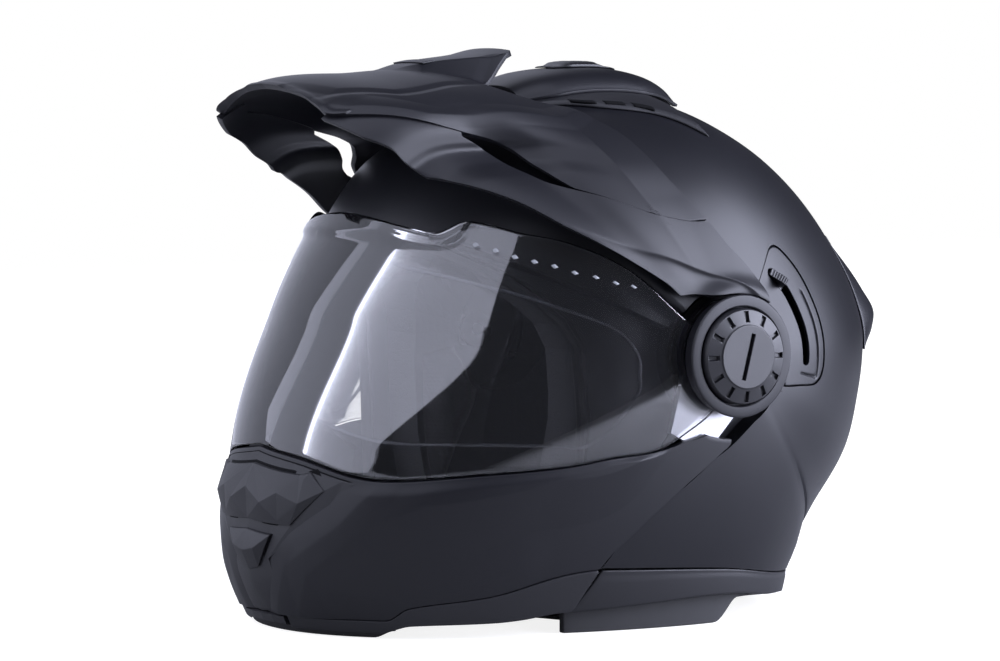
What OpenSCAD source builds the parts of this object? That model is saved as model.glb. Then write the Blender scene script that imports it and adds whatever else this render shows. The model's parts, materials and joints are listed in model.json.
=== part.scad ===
// Modular flip-up helmet with a peak, a clear visor and a drop-down sun visor.
// The front looks along -Y, +Z is up and the wearer's left is +X.
// Every skin is drawn round the hinge axis of the chin bar: an outline gives its radius at
// each angle from the front over the crown to the back, and a superellipse its width.

/* [Stance] */
// Height of the hinge axis over the ground
hinge_z = 128; // [126:1:132]
// Distance of the hinge axis behind the middle of the whole length
hinge_y = 20.8; // [20:0.1:26]

/* [Shell] */
// Half width of the shell over the hinge, at the back
shell_half_w = 125; // [123:1:127]
// Half width of the shell where the raised front sweeps over it
shell_top_half_w = 119.5; // [117:0.5:120]
// Wall of the shell
shell_wall = 4; // [3:0.5:4.5]
// Thickness of the shock-absorbing liner
liner_wall = 24; // [18:1:26]
// Height of the rubber bead under the trim
bead_h = 3; // [2:0.5:4]

/* [Chin bar] */
// Step from the shell's raised front out to the side of the chin bar
chin_out = 4.5; // [4:0.5:5.5]
// Wall of the chin bar
chin_wall = 3; // [2.5:0.5:3.5]
// Highest lift of the chin bar, degrees
chin_lift = 65; // [40:1:65]

/* [Visor] */
// Thickness of the clear visor
visor_wall = 2.2; // [1.8:0.1:2.6]
// Thickness of the anti-fog insert
insert_wall = 0.9; // [0.7:0.1:1.2]
// Thickness of the sun visor
sun_wall = 2; // [1.5:0.1:2.2]
// Space between shell and sun visor at the crown
sun_gap = 1; // [0.6:0.1:1.5]

/* [Peak] */
// Step from the shell's raised front out to the side of the peak
peak_out = 9.5; // [9:0.5:11.5]
// Wall of the peak
peak_wall = 3; // [2.5:0.5:3.5]
// Height of the hood over the peak's back
hood_h = 16; // [12:1:20]

/* [Hinge] */
// Radius of the fixed axle
axle_r = 6; // [5:0.5:7]
// Radius of the screw shank in the axle
shank_r = 3.5; // [3:0.5:4]
// Radial clearance of axle and shank
pin_gap = 0.06; // [0.03:0.01:0.1]
// Radius of the hinge discs
disc_r = 26; // [24:1:26]
// Radius of the coin-slot dial
dial_r = 22.4; // [20:0.1:22.6]
// Height of the dial's face over the shell's raised front
dial_out = 16.5; // [15:0.5:18]
// Length of the coin slot
coin_slot_l = 20; // [14:1:24]

/* [Hidden] */

slack = 0.3;
chin_half_w = shell_top_half_w + chin_out;
peak_half_w = shell_top_half_w + peak_out;
dial_face = shell_top_half_w + dial_out;
shell_n = 2.2;
face_n = 2.1;

crown_r = 120.5;
sun_r = crown_r - shell_wall - sun_gap;

// Outlines: angle from the front over the crown, and the radius there
shell_line = [[-60, 190], [0, 150], [25, 143.5], [38, 140], [50, 134.5], [60, 129], [75, 124],
    [90, 121.5], [115, crown_r], [130, 122], [143, 124.5], [157, 129], [170, 135], [180, 138.5],
    [193, 138], [206, 139.5], [220, 137.5], [228, 140], [235, 150], [270, 190], [302, 195]];
face_line = [[-110, 230], [-60, 228], [-34.5, 217], [-26, 208], [-13.8, 187.6], [7, 160],
    [27.4, 148.5], [45, 146]];
peak_line = [[20, 240], [34.9, 217.6], [44.8, 184.6], [49.4, 173], [63.9, 140.8], [75, 131],
    [90, 127.5], [115, 126.5], [140, 128]];

// Half width of the shell at each angle
shell_width = [[-60, shell_top_half_w - 6], [30, shell_top_half_w - 6], [44, shell_top_half_w],
    [150, shell_top_half_w], [175, mix(shell_top_half_w, shell_half_w, 0.4)],
    [205, mix(shell_top_half_w, shell_half_w, 0.7)], [240, shell_half_w], [300, shell_half_w - 1]];

face = [face_line, chin_half_w, face_n];
peak = [peak_line, peak_half_w, face_n];

// Smooth curve through pairs of key and value, with no overshoot
function rise(t, i) = (t[i + 1][1] - t[i][1]) / (t[i + 1][0] - t[i][0]);
function lean(t, i) =
    i == 0 ? rise(t, 0) :
    i == len(t) - 1 ? rise(t, i - 1) :
    let (a = rise(t, i - 1), b = rise(t, i)) a * b <= 0 ? 0 : 2 * a * b / (a + b);
function span_of(t, a, i = 0) = i >= len(t) - 2 || a < t[i + 1][0] ? i : span_of(t, a, i + 1);
function curve(t, a) =
    let (i = span_of(t, a), h = t[i + 1][0] - t[i][0], u = min(1, max(0, (a - t[i][0]) / h)))
    let (v = 1 - u)
    t[i][1] * v * v * (1 + 2 * u) + t[i + 1][1] * u * u * (1 + 2 * v)
    + h * u * v * (v * lean(t, i) - u * lean(t, i + 1));
// Columns on both sides of the middle one
function both(cols) = concat([for (i = [len(cols) - 1:-1:1]) -cols[i]], cols);
function mix(a, b, t) = a * (1 - t) + b * t;
function steps(a, b, n) = [for (i = [0:n]) a + (b - a) * i / n];

// Point of a skin at angle a and lateral angle f, set in by d
function skin_at(s, a, f, d = 0) =
    let (k = 2 / s[2], rho = (curve(s[0], a) - d) * pow(cos(f), k))
    [sign(f) * (s[1] - d) * pow(abs(sin(f)), k), -rho * cos(a), rho * sin(a)];
// Lateral angle at which a skin stands at a radius rho seen from the side
function lateral(s, a, rho) = acos(pow(min(1, rho / curve(s[0], a)), s[2] / 2));
function bearing(p) = atan2(p[1], -p[0]);
// Edge of a skin, from points seen from the side to pairs of lateral angle and angle
function edge_of(s, pts) = [for (p = pts) [lateral(s, bearing(p), norm(p)), bearing(p)]];
// Angle at which a skin meets the level z under the hinge
function dip(s, f, z, d = 0, a = -40, n = 12) =
    n == 0 ? a :
    dip(s, f, z, d, -asin(min(1, z / ((curve(s[0], a) - d) * pow(cos(f), 2 / s[2])))), n - 1);

// Triangles between two rows of point numbers
function strip(a, b) = [for (i = [0:len(a) - 2]) each
    [[a[i], a[i + 1], b[i + 1]], [a[i], b[i + 1], b[i]]]];
function flipped(faces) = [for (f = faces) [f[0], f[2], f[1]]];
function row(i, n, start = 0) = [for (j = [0:n - 1]) start + i * n + j];
function column(j, m, n, start = 0) = [for (i = [0:m - 1]) start + i * n + j];
function joined(lists) = [for (l = lists) each l];

// Closed sheet between an outer and an inner grid of points
module sheet(outer, inner) {
    m = len(outer);
    n = len(outer[0]);
    top = joined([for (i = [0:m - 2]) strip(row(i, n), row(i + 1, n))]);
    low = joined([for (i = [0:m - 2]) strip(row(i, n, m * n), row(i + 1, n, m * n))]);
    sides = joined([
        strip(row(0, n, m * n), row(0, n)),
        strip(row(m - 1, n), row(m - 1, n, m * n)),
        strip(column(0, m, n), column(0, m, n, m * n)),
        strip(column(n - 1, m, n, m * n), column(n - 1, m, n))]);
    polyhedron(points = concat(joined(outer), joined(inner)),
        faces = joined([top, flipped(low), sides]), convexity = 6);
}

module seat() {
    translate([0, hinge_y, hinge_z]) children();
}

// Dome over both hinges: rays round each hinge, joined over the crown from ray first to last
module dome(rays, n, first, last, place) {
    m = len(rays);
    function spot(layer, side, i, j) =
        let (k = i % m, shared = j == n - 1 && k >= first && k <= last)
        ((layer * 2 + (shared ? 0 : side)) * m + k) * n + j;
    skin = joined([for (layer = [0, 1], side = [0, 1], i = [0:m - 1])
        let (s = strip([for (j = [0:n - 1]) spot(layer, side, i, j)],
            [for (j = [0:n - 1]) spot(layer, side, i + 1, j)]))
        layer == side ? s : flipped(s)]);
    rim = joined([for (side = [0, 1])
        let (hole = strip([for (i = [0:m]) spot(0, side, i, 0)], [for (i = [0:m]) spot(1, side, i, 0)]),
            edge = strip([for (i = [last:m + first]) spot(0, side, i, n - 1)],
                [for (i = [last:m + first]) spot(1, side, i, n - 1)]))
        side == 0 ? concat(hole, flipped(edge)) : concat(flipped(hole), edge)]);
    polyhedron(points = [for (layer = [0, 1], side = [1, -1], i = [0:m - 1], j = [0:n - 1])
        place(layer, side, rays[i], j)], faces = concat(skin, rim), convexity = 8);
}

// Shell: a pocket holds the hinge discs, and one behind it the sun visor's lever
shell_rays = concat(steps(-57, 12, 7), [17, 21, 23.5, 25, 29, 34], steps(40, 108, 10),
    [114, 116], steps(122, 202, 9), [204], [212, 220, 228, 234], steps(242, 290, 6), [296, 300, 302]);
shell_first = search(25, shell_rays)[0];
shell_last = search(228, shell_rays)[0];
shell_count = 10;
pocket_floor = shell_top_half_w - 6.5;
pocket_r = 30;
lever_slope = 0.315;
lever_top = shell_top_half_w - 4.7;
lever_in = 33;
lever_out = 59.5;
lever_room = 6.5;
lever_from = 115;
lever_to = 203;
eye_edge = [[-60, 128], [-40, 84], [-20, 68], [0, 65], [12, 72], [21, 94], [23.5, 116], [25, 144]];
chin_seam = [[212, 32], [245, 33.5], [277, 46], [293.5, 68], [300, 90], [302, 103]];
// Drop of the seam between shell and trim below the hinge
seam_line = [[220, 113], [240, 109], [267, 101], [302, 97]];

function behind_lever(a) = a > lever_from && a < lever_to;
function shell_reach(a, d) =
    a < 24.9 ? curve(eye_edge, a) :
    a < 229 ? curve(shell_line, a) - d :
    min(curve(seam_line, a) / abs(sin(a)), (curve(shell_line, a) - d) * 0.995);
function shell_x(a, rho, d) =
    let (q = rho / (curve(shell_line, a) - d))
    (curve(shell_width, a) - d) * pow(max(0, 1 - pow(q, shell_n)), 1 / shell_n);
function front_x(a, rho, d) = min(pocket_floor - d, shell_x(a, rho, d) - 6);
function lever_x(rho) = lever_top - (rho - lever_in) * lever_slope;
// Lateral angle of a point of the shell at a radius seen from the side
function shell_lat(r, rho) = acos(pow(min(1, rho / r), shell_n / 2));
function shell_ring(a, d, j) =
    let (low = a > 212, p = low ? curve(chin_seam, a) : pocket_r + 6,
        q = low ? p + 1 : lever_out + 1)
    j == 0 ? 9 : j == 1 ? pocket_r : j == 2 ? pocket_r + 1 : j == 3 ? p : j == 4 ? q :
    let (end = shell_reach(a, d), r = curve(shell_line, a) - d, t = (j - 5) / (shell_count - 6),
        f1 = a < 24.9 || a > 229 ? shell_lat(r, end) : 0)
    r * pow(cos(mix(shell_lat(r, q + 1), f1, t)), 2 / shell_n);
function shell_point(side, a, j, d) =
    let (rho = shell_ring(a, d, j),
        x = j < 2 ? pocket_floor - d :
            a < 24.9 ? front_x(a, rho, d) :
            behind_lever(a) && j < 5 ? lever_x(rho) - lever_room - d :
            j < 4 && a > 212 ? front_x(a, rho, d) : shell_x(a, rho, d))
    [side * x, -rho * cos(a), rho * sin(a)];

module outer_shell() {
    color("#2b2c31") seat()
        dome(shell_rays, shell_count, shell_first, shell_last,
            function(layer, side, a, j) shell_point(side, a, j, layer * shell_wall));
}

// Chin bar and visor share the face skin; the visor's lower line is the chin bar's upper one
visor_low = edge_of(face, [[-190, -43], [-178, -45], [-162, -53], [-123, -51], [-70, -46],
    [-29, -40], [-8, -34], [1, -28.3]]);
visor_high = edge_of(face, [[-140, 68], [-125, 58], [-122, 57], [-109, 63], [-93, 58],
    [-74, 53], [-47, 38], [-23.5, 16]]);
chin_rear = edge_of(face, [[-77, -122], [-72, -111], [-63, -95], [-46, -78], [-27, -62],
    [-6, -46], [14, -30], [15, -29]]);
visor_end = disc_r;
face_cols = concat(steps(0, 60, 12), [64, 68, 71, 74, 76.5, 79, 81]);

// Recess in the front of the chin bar for the vent panel
panel_low = [[0, -31.5], [7.5, -31.5], [10.5, -29], [12.5, -26], [25, -21.5], [28, -19]];
panel_half = 28;
recess_d = 3.4;
function chin_foot(f, d, z) = max(curve(chin_rear, f), dip(face, f, z, d));
module face_band(cols, low, high, rows, d0, d1) {
    sheet([for (i = [0:len(cols) - 1]) [for (t = [0:rows])
            skin_at(face, mix(low[i], high[i], t / rows), cols[i], d0)]],
        [for (i = [0:len(cols) - 1]) [for (t = [0:rows])
            skin_at(face, mix(low[i], high[i], t / rows), cols[i], d1)]]);
}

module visor() {
    cols = both(face_cols);
    last = face_cols[len(face_cols) - 1];
    // The last column keeps clear of the hinge disc
    spot = function(f, t, d) let (a = mix(curve(visor_low, abs(f)), curve(visor_high, abs(f)), t),
            end = acos(pow(visor_end / curve(face_line, a), face_n / 2)))
        skin_at(face, a, abs(f) < last ? f : sign(f) * end, d);
    color([0.8, 0.85, 0.9, 0.4]) seat() sheet(
        [for (f = cols) [for (t = steps(0, 1, 5)) spot(f, t, 0)]],
        [for (f = cols) [for (t = steps(0, 1, 5)) spot(f, t, visor_wall)]]);
}

// Drop of the seam between chin bar and its trim, by lateral angle
chin_trim_line = [[0, 119], [29, 119], [34, 113], [46, 108], [61, 97], [90, 97]];
base_z = hinge_z - bead_h;
trim_step = 0.6;
seam_gap = 0.4;
chin_cols = both([0, 4, 7.5, 9, 10.5, 12.5, 16, 20, 25, panel_half, panel_half + 0.7, 34, 40, 45, 50,
    55, 60, 64, 68, 71, 74, 76.5, 79]);
module chin_bar() {
    low = function(f) chin_foot(f, 0, curve(chin_trim_line, f));
    high = function(f) curve(visor_low, f) - seam_gap;
    lip = function(f) f > panel_half ? mix(low(f), high(f), 0.25) : curve(panel_low, f);
    spot = function(f, j, d) let (b = lip(f), t = high(f), deep = j > 2 && f <= panel_half)
        [j < 3 ? mix(low(f), b, j / 2) : mix(b + (f > panel_half ? 0.3 : 0.25), t, (j - 3) / 3),
            d + (deep ? recess_d : 0)];
    color("#2b2c31") seat() sheet(
        [for (f = chin_cols) [for (j = [0:6]) let (q = spot(abs(f), j, 0))
            skin_at(face, q[0], f, q[1])]],
        [for (f = chin_cols) [for (j = [0:6]) let (q = spot(abs(f), j, chin_wall))
            skin_at(face, q[0], f, q[1])]]);
}

button_f = 8;
module chin_trim() {
    cols = concat([button_f], [for (f = face_cols) if (f > button_f + 2 && f < 60.5) f]);
    low = [for (f = cols) chin_foot(f, 0, base_z - 0.8)];
    high = [for (f = cols) dip(face, f, curve(chin_trim_line, f) + seam_gap)];
    color("#26272b") for (side = [1, -1]) hand(side)
        face_band(cols, low, high, 2, -trim_step, chin_wall + 1);
}

module chin_bead() {
    cols = both([for (f = face_cols) if (f < 47) f]);
    color("#151517") seat() translate([0, 0, -hinge_z]) linear_extrude(bead_h)
        polygon(concat([for (f = cols) let (q = skin_at(face, dip(face, abs(f), base_z), f, -trim_step))
                [q[0], q[1]]],
            [for (i = [len(cols) - 1:-1:0]) let (f = cols[i],
                q = skin_at(face, dip(face, abs(f), base_z, 5), f, 5)) [q[0], q[1]]]));
}

module release_button() {
    cols = steps(-button_f + 0.6, button_f - 0.6, 4);
    color("#3a3b40") seat() face_band(cols, [for (f = cols) dip(face, abs(f), base_z - 1.2, -1.6)],
        [for (f = cols) dip(face, abs(f), curve(chin_trim_line, 0) + seam_gap)], 2, -1.6, chin_wall);
}

// Shock liner of the chin bar
chin_liner_t = 11;
chin_liner_d = chin_wall + recess_d + 1.3;
module chin_liner() {
    cols = both(steps(0, 46, 8));
    color("#17171a") seat() face_band(cols,
        [for (f = cols) dip(face, abs(f), 103, chin_wall + 0.6)],
        [for (f = cols) curve(visor_low, abs(f)) - 2.5], 4, chin_liner_d,
        chin_liner_d + chin_liner_t);
}

// Front vent: a panel on the chin bar with an upper and a lower shutter
panel_t = 2.8;
panel_edge = 0.6;
module on_face(half, rows, cols, out, in) {
    sheet([for (f = cols) [for (a = rows) skin_at(face, a, f * curve(half, a), -out(f, a))]],
        [for (f = cols) [for (a = rows) skin_at(face, a, f * curve(half, a), in)]]);
}
module vent_panel() {
    cols = both([0, 4, 7.5, 9, 10.5, 12.5, 16, 20, 25, panel_half - panel_edge]);
    color("#202125") seat() face_band(cols, [for (f = cols) curve(panel_low, abs(f)) + panel_edge],
        [for (f = cols) curve(visor_low, abs(f)) - 1], 5, 0, panel_t);
}
shutter_d = 1.6;
shutter_half = [[-24, 8], [-21.5, 19], [-19.2, 19.5], [-17.2, 13]];
module upper_shutter() {
    color("#2a2b30") seat() on_face(shutter_half, [for (p = shutter_half) p[0]], steps(-1, 1, 6),
        function(f, a) shutter_d + 1 + (a > -23 && a < -18 && abs(f) < 0.8 ? 2.4 : 0), -shutter_d);
}
lower_half = [[-30.4, 4.5], [-28.8, 7.4], [-26.8, 8.4], [-25.2, 7]];
module lower_shutter() {
    color("#2a2b30") seat() on_face(lower_half, [for (p = lower_half) p[0]], steps(-1, 1, 4),
        function(f, a) shutter_d + 0.9 + (a > -30 && a < -26 && abs(f) < 0.7 ? 2 : 0), -shutter_d);
}

// Anti-fog insert behind the visor, on two pins
insert_gap = 0.9;
module visor_insert() {
    cols = both(steps(0, 50, 9));
    low = [for (f = cols) curve(visor_low, abs(f)) + 4];
    high = [for (f = cols) min(20 - 6 * pow(f / 50, 4), curve(visor_high, abs(f)) - 3)];
    color([0.85, 0.88, 0.92, 0.3]) seat() face_band(cols, low, high, 4, visor_wall + insert_gap,
        visor_wall + insert_gap + insert_wall);
}

// Flat plate across the middle plane's normal, from a profile seen from the side
module plate(x0, x1) {
    translate([x0, 0, 0]) rotate([90, 0, 90]) linear_extrude(x1 - x0) children();
}
module hand(side) {
    mirror([side < 0 ? 1 : 0, 0, 0]) seat() children();
}
function polar(r, a) = [-r * cos(a), r * sin(a)];
module sector(r0, r1, a0, a1, n = 16) {
    polygon(concat([for (a = steps(a0, a1, n)) polar(r0, a)],
        [for (a = steps(a1, a0, n)) polar(r1, a)]));
}
module ring(r0, r1) {
    difference() {
        circle(r = r1, $fn = 64);
        circle(r = r0, $fn = 64);
    }
}

// Hinge, from the shell outwards: plate with axle, arm, visor disc, peak's ring, dial
plate_x = pocket_floor + 0.2;
plate_t = 2;
arm_x = plate_x + plate_t + slack;
arm_t = 3;
hub_x = arm_x + arm_t + slack;
hub_t = 3;
ring_x = hub_x + hub_t + 2.2;
web_t = 2;
axle_end = hub_x + hub_t;
arm_reach = 47;

module pivot_plate(side) {
    color("#1d1d20") hand(side) {
        plate(plate_x, plate_x + plate_t) ring(shank_r + pin_gap, pocket_r - 1);
        plate(plate_x + plate_t, axle_end) ring(shank_r + pin_gap, axle_r);
    }
}

module chin_arm(side) {
    color("#3a3b40") hand(side)
        plate(arm_x, arm_x + arm_t) difference() {
            union() {
                circle(r = disc_r, $fn = 64);
                polygon([polar(disc_r - 0.5, -18), polar(arm_reach, -48), polar(arm_reach, -76),
                    polar(disc_r - 0.5, -112)]);
            }
            circle(r = axle_r + pin_gap, $fn = 64);
        }
}

module visor_hub(side) {
    color([0.6, 0.62, 0.66, 0.6]) hand(side)
        plate(hub_x, hub_x + hub_t) ring(axle_r + pin_gap, disc_r - 1.2);
}

// Peak: a cover with a hood over the crown vent, and a side blade with the screw ring
ring_r = 27.4;
ring_face = shell_top_half_w + 11.5;
blade_low = edge_of(peak, [[-163.6, 102], [-152, 97], [-144, 90], [-139, 87], [-135, 84], [-130, 83],
    [-117, 79], [-97, 70], [-85, 62.3], [-69, 54], [-52, 44.5], [-34, 32], [-21, 19]]);
// Share by which the flanks of the peak are drawn in, by lateral angle and by angle
tuck_at = [[20, 0], [30, 0.06], [36, 0.12], [41, 0.2], [44, 0.245], [47, 0.225], [51, 0.14],
    [57, 0.085], [66, 0.03], [75, 0]];
tuck_share = [[20, 1], [43, 1], [52, 0.5], [62, 0]];
function peak_at(a, f, d = 0) =
    let (p = skin_at(peak, a, f, d))
    [p[0] * (1 - curve(tuck_at, abs(f)) * curve(tuck_share, a)), p[1], p[2]];
hood_from = -114;
hood_to = -54;
hood_half = [[hood_from, 7], [hood_to, 25]];
hood_foot = [[hood_from, 13], [hood_to, 42]];

function hood(p) =
    let (t = min(1, max(0, (p[1] - hood_from) / (hood_to - hood_from))),
        a = curve(hood_half, p[1]), b = curve(hood_foot, p[1]))
    hood_h * t * min(1, max(0, (b - abs(p[0])) / (b - a)));
function raised(p) = p + [0, 0, hood(p)];

// Edges of cover and blade, as pairs of lateral angle and angle; the gap between them is a vent
cover_low = [[0, 34.9], [12, 34.4], [18, 33.4], [22, 32.6], [26.4, 34.4], [32, 38], [38, 42.4],
    [41, 45.4], [45, 47], [50, 46.9], [54, 47.6], [57, 52.5], [59.5, 60], [61.5, 74]];
cover_high = [[0, 66], [8, 66], [11, 61.5], [15, 57], [22, 60], [27, 66.5], [32, 69.5], [37, 72],
    [48.5, 74.5], [56, 78], [61.5, 82.5]];
cover_cols = both([0, 3, 6, 9, 12, 15, 18, 22, 26.4, 32, 38, 41, 45, 50, 54, 57, 59.5, 61.5]);
cover_step = 1;
blade_high = [[26.4, 33.9], [32, 37.4], [38, 41.3], [39.3, 41.8], [44, 43.2], [48.8, 43.4], [52, 44.2],
    [54, 46.2], [57, 52.1], [59.5, 59.6], [61.5, 73.5], [62.5, 83.5], [64, 85], [68, 91], [72, 103],
    [75.3, 115], [78, 124]];
blade_cols = [for (p = blade_high) p[0]];
// Root of the blade on its ring, and the thicker neck beside the ring
arm_root = [[36, 26], [42, 41], [55, 37], [70, 34.5], [90, 31.5], [110, 29.5], [124, 28.5], [130, 26],
    [80, 25]];
arm_neck = [[45, 26], [54, 31.5], [70, 31.5], [90, 30.5], [112, 28.8], [122, 26], [80, 25]];

module peak_cover() {
    low = [for (f = cover_cols) curve(cover_low, abs(f))];
    high = [for (f = cover_cols) curve(cover_high, abs(f))];
    color("#303136") seat() sheet(
        [for (i = [0:len(cover_cols) - 1]) [for (t = steps(0, 1, 9))
            raised(peak_at(mix(low[i], high[i], t), cover_cols[i], -cover_step))]],
        [for (i = [0:len(cover_cols) - 1]) [for (t = steps(0, 1, 9))
            raised(peak_at(mix(low[i], high[i], t), cover_cols[i], peak_wall - cover_step))]]);
}

module peak_side(side) {
    low = [for (f = blade_cols) curve(blade_low, f)];
    high = [for (f = blade_cols) curve(blade_high, f)];
    color("#303136") hand(side) {
        sheet([for (i = [0:len(blade_cols) - 1]) [for (t = steps(0, 1, 4))
                peak_at(mix(low[i], high[i], t), blade_cols[i])]],
            [for (i = [0:len(blade_cols) - 1]) [for (t = steps(0, 1, 4))
                peak_at(mix(low[i], high[i], t), blade_cols[i], peak_wall)]]);
        plate(ring_x, ring_x + web_t) ring(shank_r + pin_gap, ring_r);
        plate(ring_x, ring_face) ring(dial_r + 0.7, ring_r);
        plate(ring_x, ring_x + web_t) polygon([for (p = arm_root) polar(p[1], p[0])]);
        plate(ring_x, ring_face - 2) polygon([for (p = arm_neck) polar(p[1], p[0])]);
    }
}

// Coin-slot dial with its notches, and the shank that screws into the axle
dial_t = 8;
core_r = 0.67 * dial_r;
notches = 12;
coin_slot_w = 2;
module peak_dial(side) {
    color("#26272b") hand(side) {
        difference() {
            plate(dial_face - dial_t, dial_face) circle(r = dial_r, $fn = 96);
            for (i = [0:notches - 1]) rotate([360 * i / notches + 15, 0, 0])
                translate([dial_face - 1.5, 0, core_r + 1]) translate([0, -0.9, 0])
                    cube([2, 1.8, dial_r - core_r - 2.5]);
            plate(dial_face - 3, dial_face + 1) rotate(-15)
                square([coin_slot_w, coin_slot_l], center = true);
        }
        plate(plate_x, dial_face - dial_t) circle(r = shank_r, $fn = 48);
    }
}

// Point on the shell at an angle and a lateral angle, set out by h
function crown_at(a, f, h) =
    let (k = 2 / shell_n, rho = (curve(shell_line, a) + h) * pow(cos(f), k))
    [sign(f) * (curve(shell_width, a) + h) * pow(abs(sin(f)), k), -rho * cos(a), rho * sin(a)];
module on_shell(rows, half, cols, out, in) {
    sheet([for (f = cols) [for (a = rows) crown_at(a, f * curve(half, a), out(f, a))]],
        [for (f = cols) [for (a = rows) crown_at(a, f * curve(half, a), in(f, a))]]);
}

// Crown vent: a base with side slots, a hollow cover and a slider on it
vent_rows = [66, 69, 73, 78, 84, 90, 96, 102, 107, 112];
vent_base_h = 2.6;
vent_spread = [[0, 12], [0.15, 15], [0.35, 21], [0.7, 26], [1, 33]];
module vent_base() {
    spot = function(u, t, h) crown_at(mix(66, 99 + 5.3 * pow(abs(u), 3), t), u * curve(vent_spread, t), h);
    color("#232428") seat() sheet(
        [for (u = steps(-1, 1, 10)) [for (t = steps(0, 1, 9))
            spot(u, t, abs(u) > 0.9 || t > 0.99 ? 1 : vent_base_h)]],
        [for (u = steps(-1, 1, 10)) [for (t = steps(0, 1, 9)) spot(u, t, 0.35)]]);
}
hump_half = [[66, 10], [75, 12.5], [95, 12.5], [112, 5]];
hump_rise = [[66, 7], [75, 9], [90, 9], [100, 8], [107, 6], [112, 2.5]];
hump_wall = 2;
function hump(f, a) = vent_base_h + slack + curve(hump_rise, a) * (1 - pow(abs(f), 4));
module vent_cover() {
    color("#2c2d32") seat() on_shell(vent_rows, hump_half, steps(-1, 1, 8),
        function(f, a) hump(f, a) + (abs(f) > 0.99 ? 1.2 : 0),
        function(f, a) max(vent_base_h + 0.2, hump(f, a) - hump_wall));
}
slider_half = [[80, 2.6], [84, 3.6], [94, 3.4], [96, 2]];
module vent_slider() {
    color("#2c2d32") seat() on_shell([80, 84, 87, 90, 94, 96], slider_half, steps(-1, 1, 4),
        function(f, a) hump(f * curve(slider_half, a) / 12.5, a) + slack
            + (a > 83 && a < 91 ? 2.6 : 0.9) * (1 - 0.5 * pow(f, 4)),
        function(f, a) hump(f * curve(slider_half, a) / 12.5, a) + slack);
}

// Rear spoiler
spoiler_rise = [[155, 1], [163, 6], [170, 10.5], [174.5, 13.5], [178, 10], [182.5, 1.2]];
module rear_spoiler() {
    color("#2b2c31") seat() on_shell([for (p = spoiler_rise) p[0]], [[155, 24], [182.5, 34]],
        steps(-1, 1, 10), function(f, a) 1.2 + (curve(spoiler_rise, a) - 1) * (1 - pow(abs(f), 4)),
        function(f, a) 0.6);
}

// Trim band and bead round the back, from one chin bar seam to the other
trim_ends = [0, 0.14, 0.28, 0.45, 0.6, 0.74, 0.84, 0.91, 0.955, 0.985, 1];
trim_from = 301.6;
flare = 3.2;
function back_ray(z, lo = 200, hi = 268, n = 24) =
    let (m = (lo + hi) / 2)
    n == 0 ? m : curve(shell_line, m) * sin(m) > -z ? back_ray(z, m, hi, n - 1)
    : back_ray(z, lo, m, n - 1);
function trim_at(t, z, h) =
    let (a = mix(trim_from, back_ray(z), t), rho = z / abs(sin(a)), r = curve(shell_line, a),
        x = t == 1 ? 0 : (curve(shell_width, a) + h) * pow(max(0, 1 - pow(rho / r, shell_n)), 1 / shell_n),
        back = t > 0.4 ? h * (t - 0.4) / 0.6 : 0)
    [x, -rho * cos(a) + back, -z];
function around_back(row) = concat(row, [for (i = [len(row) - 2:-1:0])
    [-row[i][0], row[i][1], row[i][2]]]);
function trim_seam(t) =
    let (a = mix(trim_from, back_ray(112), t)) curve(seam_line, a) + 1;
trim_in = 2;
bead_in = 8;
bead_up = 8;
function trim_foot(t) = curve([[0, 118], [0.14, 116.5], [0.28, 115.2], [0.45, 114], [0.55, 114.3],
    [0.74, 118], [0.84, 119.5], [0.91, 122], [0.96, 124.5], [1, 126]], t);
// Level of the lower edge of the bead, which stands on the ground but for an arch on each side
function ground(t) = curve([[0, hinge_z], [0.5, hinge_z], [0.62, 117.5], [0.84, 120.5], [0.91, 123],
    [0.96, 126], [0.985, hinge_z], [1, hinge_z]], t);
function trim_row(v, h) = around_back([for (t = trim_ends)
    trim_at(t, mix(trim_seam(t), trim_foot(t), v), h)]);
trim_v = [0, 0.35, 0.75, 1];
module base_trim() {
    outer = [for (v = trim_v) trim_row(v, 0.3 + flare * v)];
    inner = [for (v = trim_v) trim_row(v, -trim_in)];
    color("#26272b") seat() sheet(outer, inner);
}
function bead_row(h, up) = around_back([for (t = trim_ends)
    let (p = trim_at(t, trim_foot(t) - max(0, up), h)) up < 0 ? [p[0], p[1], -ground(t)] : p]);
module base_bead() {
    color("#151517") seat() sheet([for (up = [bead_up, 0, -1]) bead_row(-trim_in - 1, up)],
        [for (up = [bead_up, 0, -1]) bead_row(-bead_in, up)]);
}

// Rubber seal round the eye port
seal_r = 2.6;
seal_gap = 0.7;
seal_rays = [-52, -40, -25, -10, 5, 14, 19, 22, 24];
seal_edge = [for (a = seal_rays) let (rho = curve(eye_edge, a)) [front_x(a, rho, 2),
    -rho * cos(a), rho * sin(a)]];
seal_top = [0, polar(141.5, 25)[0], polar(141.5, 25)[1]];
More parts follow.
